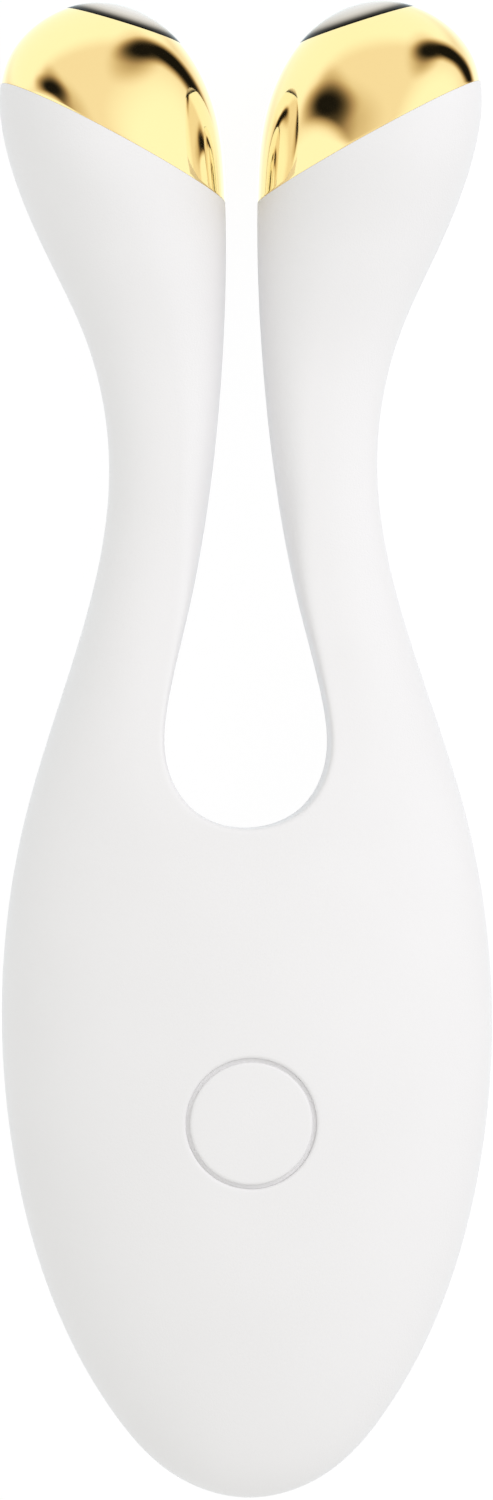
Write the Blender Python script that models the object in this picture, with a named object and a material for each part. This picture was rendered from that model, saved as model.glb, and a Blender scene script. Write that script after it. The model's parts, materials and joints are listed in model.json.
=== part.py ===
"""A two-armed facial lifting device with gold heads, lying on its back.

X runs across it, Y from the handle's tip to the heads, Z up through the front face.
The origin is under the middle of the outline, on the surface that it rests on. Metres.
"""

import math

import bpy
import bmesh
import numpy as np
from mathutils import Matrix, Vector

# Driving sizes of the outer form
LENGTH = 0.155
BODY_HALF_WIDTH = 0.0253
FRONT_DEPTH = 0.0145
REAR_DEPTH = 0.0115
REST_CUT = 0.0006
ROLL_IN = 0.0034
SECTION_POWER = 2.3
HEAD_POWER = 2.05
SEAM_LEAN = math.radians(3.0)

# The outline of the right half, from the handle's tip round the head to the crotch:
# across as a share of BODY_HALF_WIDTH, along as a share of LENGTH
OUTLINE_SHARES = (
    (0.0, 0.0),
    (0.320, 0.0167),
    (0.549, 0.0555),
    (0.967, 0.2387),
    (0.900, 0.4567),
    (0.549, 0.6894),
    (0.6475, 0.7777),
    (0.758, 0.8178),
    (0.955, 0.898),
    (0.951, 0.9629),
    (0.8115, 0.9896),
    (0.578, 1.0),
    (0.365, 0.9896),
    (0.1107, 0.930),
    (0.0676, 0.874),
    (0.0922, 0.7389),
    (0.2295, 0.5931),
    (0.3197, 0.5316),
    (0.330, 0.4926),
    (0.222, 0.4602),
    (0.0, 0.4478),
)
HEAD_TIP_POINT = 11
WIDEST_SHARE = 0.335

# Half depth along the length, as shares of FRONT_DEPTH and REAR_DEPTH
FRONT_SHARES = (
    (0.335, 1.0),
    (0.45, 0.86),
    (0.56, 0.60),
    (0.66, 0.425),
    (0.74, 0.425),
    (0.83, 0.60),
    (0.90, 0.775),
    (1.0, 0.765),
)
REAR_SHARES = (
    (0.335, 1.0),
    (0.44, 0.985),
    (0.52, 0.88),
    (0.60, 0.68),
    (0.68, 0.525),
    (0.75, 0.535),
    (0.84, 0.78),
    (0.91, 0.945),
    (1.0, 0.95),
)

# Where a section of the arm meets the outer and the inner outline, along LENGTH;
# the third number is where its crest lies between the two
SECTION_SHARES = (
    (0.516, 0.506, 0.16),
    (0.581, 0.565, 0.26),
    (0.677, 0.668, 0.32),
    (0.774, 0.758, 0.40),
    (0.865, 0.819, 0.47),
    (0.9455, 0.8655, 0.56),
    (0.9938, 0.9718, 0.48),
)
GOLD_SECTION = 5
DOME_SECTION = 6

# Walls and fits
WALL = 0.0022
PARTING_GAP = 0.0003
SEAM_GAP = 0.0002
SEAT = 0.0002
RIM_LIP = 0.0009
RIM_STEP = 0.0008
SEAL_WIDTH = 0.0009

# Heads
CAP_WALL = 0.0010
SKIRT_LENGTH = 0.0035
SKIRT_FIT = 0.0005
SKIRT_WALL = 0.0008
SKIRT_SHOULDER = 0.0012
LEDGE_EDGE = 0.0010
LEDGE_DEPTH = 0.0018
LEDGE_WIDTH = 0.0016
LEDGE_THICK = 0.0010
LEDGE_TAPER = 0.0008
LENS_SEAL_THICK = 0.0005
DOME_SHARES = (0.35, 0.65, 0.88)
HEAD_SEAL_LENGTH = 0.0010
CARRIER_TOP = 0.0057
CARRIER_WALL = 0.0014
CARRIER_FLOOR = 0.0014
CARRIER_FOOT = 0.0040
CARRIER_SIDE_GAP = 0.0014
LED_BOARD_RADIUS = 0.0036
LED_BOARD_THICK = 0.0010
LED_SEAT = 0.0005
LED_SIDE = 0.0030
LED_HEIGHT = 0.0009
CONTACT_LENGTH = 0.0050
CONTACT_HALF_ANGLE = math.radians(14.0)

# Button
BUTTON_SHARE = 0.2525
BUTTON_RADIUS = 0.0065
BUTTON_GROOVE = 0.0005
BUTTON_EDGE = 0.0005
BUTTON_TRAVEL = 0.0005
CROWN_SHARES = (0.0, 0.5)
SHOULDER_SHARE = 0.35
FLANGE_REACH = 0.0008
FLANGE_THICK = 0.0009
FLANGE_CLEAR = 0.0003
STEM_RADIUS = 0.0020
PLUNGER_RADIUS = 0.0015
PLUNGER_RISE = 0.0007
PLUNGER_SUNK = 0.0006
SWITCH_SIDE = 0.0060
SWITCH_HEIGHT = 0.0030
SWITCH_BORE_GAP = 0.0003

# Main board
BOARD_TOP = 0.0056
BOARD_THICK = 0.0010
BOARD_HALF_WIDTH = 0.0138
BOARD_LENGTH = 0.0315
BOARD_END_SHARE = 0.353
BOARD_CORNER = 0.0030
BOSS_IN = 0.0024
BOSS_LOW_END = 0.0040
BOSS_HIGH_END = 0.0036
BOSS_RADIUS = 0.0020
SCREW_RADIUS = 0.0006
SCREW_HEAD_RADIUS = 0.0014
SCREW_HEAD = 0.0009
BOSS_ROOF = 0.0010
SCREW_CLEAR = 0.0003
CHIP_SIDE = 0.0050
CHIP_HEIGHT = 0.0010
INDUCTOR_RADIUS = 0.0024
INDUCTOR_HEIGHT = 0.0025
TRANSFORMER_SIDE = 0.0046
TRANSFORMER_HEIGHT = 0.0036
TRANSFORMER_CLEAR = 0.0003
PLUG_WIDTH = 0.0060
PLUG_LENGTH = 0.0040
PLUG_HEIGHT = 0.0030

# Battery and charging
CELL_HALF_WIDTH = 0.0120
CELL_LENGTH = 0.0275
CELL_THICK = 0.0054
CELL_EDGE = 0.0012
CELL_END_GAP = 0.0004
PLUG_CLEAR = 0.0006
CELL_PAD = 0.0010
CELL_PAD_INSET = 0.0020
POST_RADIUS = 0.0014
POST_ACROSS = 0.0080
POST_ALONG = 0.0106
CHARGE_SHARE = 0.303
CHARGE_SPACING = 0.0056
CONTACT_HEAD_RADIUS = 0.0017
CONTACT_HEAD = 0.0008
CONTACT_PIN_RADIUS = 0.0008
CONTACT_SUNK = 0.0002
CHARGE_BASE_HALF_WIDTH = 0.0046
CHARGE_BASE_HALF_LENGTH = 0.0072
CHARGE_BASE_THICK = 0.0020
MAGNET_RADIUS = 0.0018
MAGNET_HEIGHT = 0.0015
MAGNET_ALONG = 0.0048
FLEX_WIDTH = 0.0050
FLEX_THICK = 0.0003
FLEX_CLEAR = 0.0006

# Motor
MOTOR_RADIUS = 0.0040
MOTOR_LENGTH = 0.0130
MOTOR_SHARE = 0.397
MOTOR_HEIGHT = 0.0010
MOTOR_LEFT = 0.0105
SHAFT_RADIUS = 0.0007
SHAFT_BORE_GAP = 0.0002
SHAFT_REACH = 0.0070
SHAFT_SUNK = 0.0040
WEIGHT_RADIUS = 0.0036
WEIGHT_HUB = 0.0017
WEIGHT_LENGTH = 0.0045
WEIGHT_GAP = 0.0012
SLEEVE_WALL = 0.0008
SLEEVE_LENGTH = 0.0090
CRADLE_RIB = 0.0014
CRADLE_SPREAD = 0.0028
CRADLE_HALF = 0.0038

# Leads
LEAD_RADIUS = 0.0005
HEAD_LEAD_RADIUS = 0.0007
# Along the arm, and how much of the height over the middle plane is left there
LEAD_FALL_SHARES = (
    (0.18, 0.45),
    (0.3, 0.15),
    (0.42, 0.0),
    (0.54, 0.0),
    (0.66, 0.0),
    (0.78, 0.0),
    (0.9, 0.0),
)

OVERRUN = 0.004
SPAN_STEPS = 24
ARC_STEPS = 7
BODY_STEPS = 12
BODY_EVEN_SHARE = 0.45
ROOT_STEPS = 5
ARM_STEPS = 11
ROLL_STEPS = 4
HEAD_STEPS = 20
ROUND_STEPS = 24
NUMERIC_ZERO = 1e-9


def clear_scene():
    for old in list(bpy.data.objects):
        bpy.data.objects.remove(old, do_unlink=True)


# Outline and depth


def smooth_curve(points, start, end, steps):
    """A cubic spline through the points, with its directions at both ends given."""
    knots = np.array(points, float)
    count = len(knots)
    spans = np.hypot(*np.diff(knots, axis=0).T)
    matrix = np.zeros((count, count))
    right = np.zeros((count, 2))
    matrix[0, 0] = matrix[-1, -1] = 1.0
    right[0], right[-1] = start, end
    for i in range(1, count - 1):
        before, after = spans[i - 1], spans[i]
        matrix[i, i - 1 : i + 2] = after, 2 * (before + after), before
        rise = after * (knots[i] - knots[i - 1]) / before + before * (knots[i + 1] - knots[i]) / after
        right[i] = 3 * rise
    slopes = np.linalg.solve(matrix, right)
    pieces = []
    for i, span in enumerate(spans):
        t = np.linspace(0, 1, steps, endpoint=False)[:, None]
        pieces.append(
            (2 * t**3 - 3 * t**2 + 1) * knots[i]
            + (t**3 - 2 * t**2 + t) * span * slopes[i]
            + (3 * t**2 - 2 * t**3) * knots[i + 1]
            + (t**3 - t**2) * span * slopes[i + 1]
        )
    return np.concatenate(pieces + [knots[-1:]])


def lengths_along(curve):
    return np.concatenate([[0.0], np.cumsum(np.hypot(*np.diff(curve, axis=0).T))])


def table_value(table, x):
    """A smooth curve through a table's points that never overshoots them."""
    xs, ys = np.array(table, float).T
    gaps = np.diff(xs)
    rises = np.diff(ys) / gaps
    slopes = np.zeros(len(xs))
    for i in range(1, len(xs) - 1):
        if rises[i - 1] * rises[i] > 0:
            slopes[i] = 2 * rises[i - 1] * rises[i] / (rises[i - 1] + rises[i])
    x = min(max(x, xs[0]), xs[-1])
    i = min(int(np.searchsorted(xs, x, side="right")) - 1, len(gaps) - 1)
    t = (x - xs[i]) / gaps[i]
    return float(
        (2 * t**3 - 3 * t**2 + 1) * ys[i]
        + (t**3 - 2 * t**2 + t) * gaps[i] * slopes[i]
        + (3 * t**2 - 2 * t**3) * ys[i + 1]
        + (t**3 - t**2) * gaps[i] * slopes[i + 1]
    )


OUTLINE = smooth_curve(
    [(x * BODY_HALF_WIDTH, y * LENGTH) for x, y in OUTLINE_SHARES], (1, 0), (-1, 0), SPAN_STEPS
)
OUTLINE = OUTLINE * [1.0, LENGTH / OUTLINE[:, 1].max()]
TIP_INDEX = HEAD_TIP_POINT * SPAN_STEPS
OUTER, INNER = OUTLINE[: TIP_INDEX + 1], OUTLINE[TIP_INDEX:][::-1]
OUTER_RUN, INNER_RUN = lengths_along(OUTER), lengths_along(INNER)
CROTCH_Y = float(INNER[0, 1])
FORK_Y = CROTCH_Y - ROLL_IN
WIDEST_Y = WIDEST_SHARE * LENGTH
WIDEST_X = float(np.interp(WIDEST_Y, OUTER[:, 1], OUTER[:, 0]))
FORK_RUN = float(np.interp(FORK_Y, OUTER[:, 1], OUTER_RUN))
MID_Z = REAR_DEPTH - REST_CUT


def point_at(curve, run, s):
    return np.array([np.interp(s, run, curve[:, 0]), np.interp(s, run, curve[:, 1])])


def half_width(y):
    """Half the body's width at a distance y from the handle's tip."""
    return float(np.interp(y, OUTER[:, 1], OUTER[:, 0]))


def depth_at(y, side):
    """Half the depth of the form at y, towards the front (side 1) or the rear (side -1)."""
    depth = FRONT_DEPTH if side > 0 else REAR_DEPTH
    if y < WIDEST_Y:
        return depth * half_width(max(y, 0.0)) / WIDEST_X
    shares = FRONT_SHARES if side > 0 else REAR_SHARES
    return depth * table_value(shares, y / LENGTH)


def powered(value, power=SECTION_POWER):
    return abs(value) ** (2.0 / power)


def body_surface(x, y, inset, side):
    """Height of the body's face over a point, with inset measured in from the skin."""
    depth = depth_at(y, side) - inset
    across = min(abs(x) / (half_width(y) - inset), 1.0)
    return MID_Z + side * depth * (1 - across**SECTION_POWER) ** (1 / SECTION_POWER)


# Sections of the form


def arm_stations():
    """Length along the arm, and along both outlines, at each of SECTION_SHARES."""
    outer = [FORK_RUN]
    inner = [0.0]
    for out_share, in_share, _ in SECTION_SHARES:
        outer.append(float(np.interp(out_share * LENGTH, OUTER[:, 1], OUTER_RUN)))
        inner.append(float(np.interp(in_share * LENGTH, INNER[:, 1], INNER_RUN)))
    outer.append(float(OUTER_RUN[-1]))
    inner.append(float(INNER_RUN[-1]))
    runs = [0.0]
    for i in range(1, len(outer)):
        step = (outer[i] - outer[i - 1] + inner[i] - inner[i - 1]) / 2
        runs.append(runs[-1] + step)
    return runs, outer, inner


ARM_RUN, OUTER_AT, INNER_AT = arm_stations()
GOLD_RUN = ARM_RUN[GOLD_SECTION + 1]
DOME_RUN = ARM_RUN[DOME_SECTION + 1]
TIP_RUN = ARM_RUN[-1]
ROOT_RUN = ARM_RUN[1]
BEND_RUN = ARM_RUN[2]
CREST_TABLE = [(ARM_RUN[0], SECTION_SHARES[0][2])]
CREST_TABLE += [(run, row[2]) for run, row in zip(ARM_RUN[1:], SECTION_SHARES)]
CREST_TABLE += [(TIP_RUN, SECTION_SHARES[-1][2])]


def smooth_step(t):
    t = min(max(t, 0.0), 1.0)
    return t * t * (3 - 2 * t)


def chord_ends(s):
    outer = point_at(OUTER, OUTER_RUN, table_value(list(zip(ARM_RUN, OUTER_AT)), s))
    inner = point_at(INNER, INNER_RUN, table_value(list(zip(ARM_RUN, INNER_AT)), s))
    return outer, inner


def half_chord(s):
    outer, inner = chord_ends(s)
    return float(np.hypot(*(outer - inner))) / 2


FULLEST_RUN = max(np.linspace(BEND_RUN, TIP_RUN, 200), key=half_chord)
FULLEST = half_chord(FULLEST_RUN)


def inner_normal(s):
    """Direction from the slot's edge into the arm, square to the edge."""
    run = table_value(list(zip(ARM_RUN, INNER_AT)), s)
    ahead = point_at(INNER, INNER_RUN, run + ROLL_IN / 10)
    behind = point_at(INNER, INNER_RUN, max(run - ROLL_IN / 10, 0.0))
    along = (ahead - behind) / np.hypot(*(ahead - behind))
    return np.array([along[1], -along[0]]) if run > 0 else np.array([0.0, -1.0])


def slot_distance(x, y):
    """Distance from a point to the slot's edge."""
    starts, steps = INNER[:-1], np.diff(INNER, axis=0)
    t = ((np.array([x, y]) - starts) * steps).sum(1) / (steps**2).sum(1)
    nearest = starts + steps * np.clip(t, 0.0, 1.0)[:, None]
    return float(np.hypot(x - nearest[:, 0], y - nearest[:, 1]).min())


def root_share(x, y, inset):
    """Share of the full depth where the body runs into the arms round the slot's end."""
    across = min(abs(x) / (half_width(y) - inset), 1.0)
    body = (1 - across**SECTION_POWER) ** (1 / SECTION_POWER)
    into = (ROLL_IN - slot_distance(x, y)) / (ROLL_IN - inset)
    roll = (1 - min(max(into, 0.0), 1.0) ** SECTION_POWER) ** (1 / SECTION_POWER)
    return body * roll


def arm_section(s):
    """The section of the right arm at s along it: a function of angle, inset and side."""
    outer, inner = chord_ends(s)
    near = inner + inner_normal(s) * ROLL_IN
    far = inner + (outer - inner) * table_value(CREST_TABLE, s)
    blend = smooth_step(s / BEND_RUN)
    crest = near + (far - near) * blend
    fullness = min(half_chord(s) / FULLEST, 1.0) if s > FULLEST_RUN else 1.0
    to_head = smooth_step((s - ARM_RUN[3]) / (GOLD_RUN - ARM_RUN[3]))
    power = SECTION_POWER + (HEAD_POWER - SECTION_POWER) * to_head
    lean = math.tan(SEAM_LEAN) * to_head
    lean *= 1 - smooth_step((s - GOLD_RUN) / (TIP_RUN - GOLD_RUN))

    def point(angle, inset, side):
        end = outer if math.cos(angle) >= 0 else inner
        reach = np.hypot(*(end - crest))
        end = crest + (end - crest) * max(reach - inset, 0.0) / max(reach, NUMERIC_ZERO)
        flat = crest + (end - crest) * powered(math.cos(angle), power)
        depth = max(depth_at(flat[1], side) * fullness - inset, 0.0)
        share = powered(math.sin(angle), power)
        if blend < 1.0:
            share = share * blend + root_share(flat[0], flat[1], inset) * (1 - blend)
        rise = side * depth * share
        return flat[0], flat[1] + lean * rise, rise

    return point


def body_section(s):
    """Half a section of the body, from its crest on the middle plane to the outer edge."""
    outer = point_at(OUTER, OUTER_RUN, s)
    step = ROLL_IN / 10
    along = point_at(OUTER, OUTER_RUN, s + step) - point_at(OUTER, OUTER_RUN, max(s - step, 0.0))
    normal = np.array([along[1], -along[0]]) / np.hypot(*along)
    if s <= 0:
        normal = np.array([0.0, -1.0])

    def point(angle, inset, side):
        edge = outer - normal * inset if normal[1] < 0 else outer - np.array([inset, 0.0])
        edge[0] = max(edge[0], 0.0)
        depth = FRONT_DEPTH if side > 0 else REAR_DEPTH
        if outer[1] < WIDEST_Y:
            half = (depth - inset) * edge[0] / (WIDEST_X - inset)
        else:
            half = depth_at(edge[1], side) - inset
        return edge[0] * powered(math.cos(angle)), edge[1], side * half * powered(math.sin(angle))

    return point


def body_runs(count):
    """Places of the body's sections, closer together round the handle's tip."""
    shares = [(i / count) for i in range(count + 1)]
    even = BODY_EVEN_SHARE
    return [FORK_RUN * (even * t + (1 - even) * t * t) for t in shares]


def arm_runs(end):
    """Places of the arm's sections up to end, closer together round the crotch."""
    root = [ROOT_RUN * i / ROOT_STEPS for i in range(ROOT_STEPS)]
    return root + [ROOT_RUN + (end - ROOT_RUN) * i / ARM_STEPS for i in range(ARM_STEPS + 1)]


def placed(x, y, rise):
    """A point of the form in the part's frame, from its height over the middle plane."""
    return (x, y - LENGTH / 2, MID_Z + rise)


# Mesh helpers


def material(name, color, roughness, metallic=0.0):
    made = bpy.data.materials.new(name)
    made.use_nodes = True
    shader = made.node_tree.nodes["Principled BSDF"]
    shader.inputs["Base Color"].default_value = (*color, 1.0)
    shader.inputs["Roughness"].default_value = roughness
    shader.inputs["Metallic"].default_value = metallic
    made.diffuse_color = (*color, 1.0)
    return made


def finish(name, bm, finish_material, round_shading=True):
    """Close and turn out the mesh, then put it into the scene as one named object."""
    bmesh.ops.remove_doubles(bm, verts=bm.verts, dist=NUMERIC_ZERO * 100)
    bmesh.ops.recalc_face_normals(bm, faces=bm.faces)
    mesh = bpy.data.meshes.new(name)
    bm.to_mesh(mesh)
    bm.free()
    if round_shading:
        mesh.shade_smooth()
        mesh.set_sharp_from_angle(angle=math.radians(35))
    made = bpy.data.objects.new(name, mesh)
    bpy.context.scene.collection.objects.link(made)
    made.data.materials.append(finish_material)
    return made


def moved_origin(made, origin):
    """Put an object's origin on its joint without moving its shape."""
    made.data.transform(Matrix.Translation(-Vector(origin)))
    made.location = origin
    return made


def as_guide(made):
    made.hide_render = True
    made.display_type = "WIRE"
    return made


def boolean(made, other, operation):
    cut = made.modifiers.new(other.name, "BOOLEAN")
    cut.object = other
    cut.operation = operation
    cut.solver = "EXACT"


def loops_mesh(loops, closed, ends=(True, True), ring=False):
    """Skin a list of equally long point loops; ends says which end loops get a face."""
    bm = bmesh.new()
    rows = [[bm.verts.new(p) for p in loop] for loop in loops]
    pairs = list(zip(rows, rows[1:]))
    if ring:
        pairs.append((rows[-1], rows[0]))
    for low, high in pairs:
        count = len(low) if closed else len(low) - 1
        for j in range(count):
            k = (j + 1) % len(low)
            bm.faces.new((low[j], low[k], high[k], high[j]))
    if not ring:
        if ends[0]:
            bm.faces.new(rows[0])
        if ends[1]:
            bm.faces.new(rows[-1])
    return bm


def drop_thin(bm):
    """Join the points that a pole brings together, and drop the faces that this flattens."""
    bmesh.ops.remove_doubles(bm, verts=bm.verts, dist=NUMERIC_ZERO * 100)
    bmesh.ops.dissolve_degenerate(bm, dist=NUMERIC_ZERO * 100, edges=bm.edges)
    return bm


def mirrored(bm):
    """Add the left half of a mesh whose open edges lie on the middle plane."""
    bmesh.ops.mirror(
        bm, geom=bm.verts[:] + bm.edges[:] + bm.faces[:], axis="X", merge_dist=NUMERIC_ZERO * 100
    )
    return bm


def turned(profile, steps=ROUND_STEPS):
    """A closed turned solid about Z from (radius, height) points; the ends sit on the axis."""
    loops = []
    for radius, height in profile:
        loops.append(
            [
                (radius * math.cos(math.tau * k / steps), radius * math.sin(math.tau * k / steps), height)
                for k in range(steps)
            ]
        )
    return loops_mesh(loops, closed=True)


def turned_ring(profile, steps=ROUND_STEPS):
    """A turned solid with a hole through it: the profile is a closed outline."""
    loops = []
    for radius, height in profile:
        loops.append(
            [
                (radius * math.cos(math.tau * k / steps), radius * math.sin(math.tau * k / steps), height)
                for k in range(steps)
            ]
        )
    return loops_mesh(loops, closed=True, ring=True)


def box_mesh(low, high, edge=0.0):
    bm = bmesh.new()
    bmesh.ops.create_cube(bm, size=1.0)
    size = Vector(high) - Vector(low)
    bmesh.ops.scale(bm, vec=size, verts=bm.verts)
    bmesh.ops.translate(bm, vec=(Vector(high) + Vector(low)) / 2, verts=bm.verts)
    if edge > 0:
        bmesh.ops.bevel(
            bm, geom=bm.edges[:], offset=edge, affect="EDGES", segments=2, profile=0.5, material=-1
        )
    return bm


def joined(parts):
    """One mesh of several closed shapes that don't touch, for a guide."""
    whole = bmesh.new()
    for part in parts:
        bmesh.ops.recalc_face_normals(part, faces=part.faces)
        held = bpy.data.meshes.new("held")
        part.to_mesh(held)
        part.free()
        whole.from_mesh(held)
        bpy.data.meshes.remove(held)
    return whole


def placed_mesh(bm, matrix):
    bmesh.ops.transform(bm, matrix=matrix, verts=bm.verts)
    return bm


def tube(name, points, radius, finish_material):
    """A lead on a smooth curve through its route's points."""
    route = [Vector(p) for p in points]
    fine = []
    for i in range(len(route) - 1):
        before = route[i - 1] if i else route[i] * 2 - route[i + 1]
        after = route[i + 2] if i + 2 < len(route) else route[i + 1] * 2 - route[i]
        for k in range(3):
            t = k / 3
            fine.append(
                0.5
                * (
                    2 * route[i]
                    + (route[i + 1] - before) * t
                    + (2 * before - 5 * route[i] + 4 * route[i + 1] - after) * t * t
                    + (3 * route[i] - before - 3 * route[i + 1] + after) * t**3
                )
            )
    fine.append(route[-1])
    curve = bpy.data.curves.new(name, "CURVE")
    curve.dimensions = "3D"
    curve.bevel_depth = radius
    curve.bevel_resolution = 1
    curve.use_fill_caps = True
    line = curve.splines.new("POLY")
    line.points.add(len(fine) - 1)
    for spot, p in zip(line.points, fine):
        spot.co = (*p, 1.0)
    made = bpy.data.objects.new(name, curve)
    bpy.context.scene.collection.objects.link(made)
    curve.materials.append(finish_material)
    return made


# Outer pieces


def half_angles():
    return [math.pi / 2 * i / ARC_STEPS for i in range(ARC_STEPS + 1)]


def roll_angles():
    return [math.pi / 2 + math.pi / 2 * i / ROLL_STEPS for i in range(1, ROLL_STEPS + 1)]


def cover_loop(section, side, whole):
    """One section of a cover: the skin, the stepped rim at each edge and the inner wall."""
    rim = side * PARTING_GAP / 2
    step = rim + side * RIM_STEP

    def at(angle, inset, least):
        x, y, rise = section(angle, inset, side)
        return placed(x, y, side * max(side * rise, side * least))

    def corner(angle, inset, rise):
        x, y, _ = section(angle, inset, side)
        return placed(x, y, rise)

    outer = [at(a, 0.0, rim) for a in reversed(half_angles())]
    lips = [corner(0.0, RIM_LIP, rim), corner(0.0, RIM_LIP, step)]
    inner = [at(a, WALL, step) for a in half_angles()]
    half = outer + lips + inner
    if not whole:
        return half
    before = [at(a, 0.0, rim) for a in reversed(roll_angles())]
    after = [at(a, WALL, step) for a in roll_angles()]
    ends = [corner(math.pi, RIM_LIP, step), corner(math.pi, RIM_LIP, rim)]
    return before + half + after + ends


def cover_shell(side):
    """The right half of a cover as a skin of sections, mirrored to make the whole."""
    bm = bmesh.new()
    body_rows = [cover_loop(body_section(s), side, False) for s in body_runs(BODY_STEPS)]
    arm_rows = [cover_loop(arm_section(s), side, True) for s in arm_runs(GOLD_RUN - SEAM_GAP / 2)]
    first = ROLL_STEPS
    body_rows[-1] = arm_rows[0][first : first + len(body_rows[0])]
    for rows, closed in ((body_rows, False), (arm_rows, True)):
        verts = [[bm.verts.new(p) for p in row] for row in rows]
        for low, high in zip(verts, verts[1:]):
            count = len(low)
            for j in range(count if closed else count - 1):
                k = (j + 1) % count
                bm.faces.new((low[j], low[k], high[k], high[j]))
    last = verts[-1]
    count = len(last)
    skin = ROLL_STEPS + ARC_STEPS
    lip = skin + 1
    mirror_of = [lip + 2 + skin - j for j in range(skin + 1)]
    for j in range(1, skin - 1):
        bm.faces.new((last[j], last[j + 1], last[mirror_of[j + 1]], last[mirror_of[j]]))
    outer_end = (skin - 1, skin, lip, lip + 1, mirror_of[skin], mirror_of[skin - 1])
    inner_end = (1, 0, count - 1, count - 2, mirror_of[0], mirror_of[1])
    bm.faces.new([last[i] for i in outer_end])
    bm.faces.new([last[i] for i in inner_end])
    drop_thin(bm)
    mirrored(bm)
    return bm


def flat_pad(bm):
    """Cut the resting face flat at the bottom of the rear cover."""
    cut = bmesh.ops.bisect_plane(
        bm,
        geom=bm.verts[:] + bm.edges[:] + bm.faces[:],
        plane_co=(0, 0, 0),
        plane_no=(0, 0, -1),
        clear_outer=True,
    )
    edges = [e for e in cut["geom_cut"] if isinstance(e, bmesh.types.BMEdge)]
    bmesh.ops.holes_fill(bm, edges=edges, sides=0)
    return bm


def full_loop(section, inset):
    """A whole section of the arm or head, all the way round."""
    loop = []
    for k in range(HEAD_STEPS):
        angle = math.tau * (k + 0.5) / HEAD_STEPS
        side = 1 if angle < math.pi else -1
        x, y, rise = section(angle if side > 0 else math.tau - angle, inset, side)
        loop.append(placed(x, y, rise))
    return loop


def left_copy(bm):
    twin = bm.copy()
    bmesh.ops.scale(twin, vec=(-1, 1, 1), verts=twin.verts)
    bmesh.ops.reverse_faces(twin, faces=twin.faces)
    return twin


def pair(name, bm, finish_material, round_shading=True):
    twin = left_copy(bm)
    return (
        finish(name + "_right", bm, finish_material, round_shading),
        finish(name + "_left", twin, finish_material, round_shading),
    )


def swept(profile, ring=True, ends=(True, True)):
    """A piece of the head: each (run, inset) point of the profile becomes a whole section."""
    return loops_mesh([full_loop(arm_section(s), inset) for s, inset in profile], True, ends, ring)


def runs_between(start, end, count):
    return [start + (end - start) * i / count for i in range(count + 1)]


def upright(s, inset):
    """The inset at s of a wall that stands straight under that inset at the dome's seam."""
    return inset + half_chord(s) - half_chord(DOME_RUN)


LEDGE_RUN = DOME_RUN - LEDGE_DEPTH
LEDGE_UNDER = LEDGE_RUN - LEDGE_THICK
LEDGE_IN = LEDGE_EDGE + LEDGE_WIDTH
SKIRT_IN = WALL + SKIRT_FIT
SKIRT_END = GOLD_RUN - SKIRT_LENGTH
CARRIER_TOP_RUN = DOME_RUN - CARRIER_TOP


def gold_cap(gold):
    """A thin metal shell with a skirt inside the arm and a ledge for the lens."""
    low = GOLD_RUN + SEAM_GAP / 2
    high = DOME_RUN - SEAM_GAP / 2
    profile = [(s, 0.0) for s in runs_between(low, high, 8)]
    profile += [
        (high, LEDGE_EDGE),
        (LEDGE_RUN, upright(LEDGE_RUN, LEDGE_EDGE)),
        (LEDGE_RUN, upright(LEDGE_RUN, LEDGE_IN)),
        (LEDGE_UNDER, upright(LEDGE_UNDER, LEDGE_IN)),
    ]
    shoulder = low + SKIRT_SHOULDER
    profile += [(s, CAP_WALL) for s in runs_between(LEDGE_UNDER - LEDGE_TAPER, shoulder, 4)]
    profile += [
        (shoulder, SKIRT_IN + SKIRT_WALL),
        (SKIRT_END, SKIRT_IN + SKIRT_WALL),
        (SKIRT_END, SKIRT_IN),
        (low, SKIRT_IN),
    ]
    return pair("gold_cap", swept(profile), gold)


def tip_lens(lens):
    """The solid dome at the tip of a head, flush with the cap."""
    low = DOME_RUN + SEAM_GAP / 2
    bottom = LEDGE_RUN + SEAT * 2 + LENS_SEAL_THICK
    side = LEDGE_EDGE + SEAT
    profile = [(bottom, upright(bottom, side)), (low, side), (low, 0.0)]
    span = TIP_RUN - low
    profile += [(low + span * t, 0.0) for t in DOME_SHARES]
    return pair("tip_lens", swept(profile, ring=False), lens)


def lens_seal(rubber):
    low = LEDGE_RUN + SEAT
    high = low + LENS_SEAL_THICK
    wide = LEDGE_EDGE + SEAT
    narrow = LEDGE_IN - SEAT
    profile = [(low, wide), (high, wide), (high, narrow), (low, narrow)]
    return pair("lens_seal", swept([(s, upright(s, i)) for s, i in profile]), rubber)


def head_seal(rubber):
    """A ring on the carrier's collar that the cap's skirt presses on."""
    high = SKIRT_END - SEAT
    low = high - HEAD_SEAL_LENGTH
    outer, inner = SKIRT_IN, SKIRT_IN + SKIRT_WALL
    return pair("head_seal", swept([(low, outer), (high, outer), (high, inner), (low, inner)]), rubber)


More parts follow.
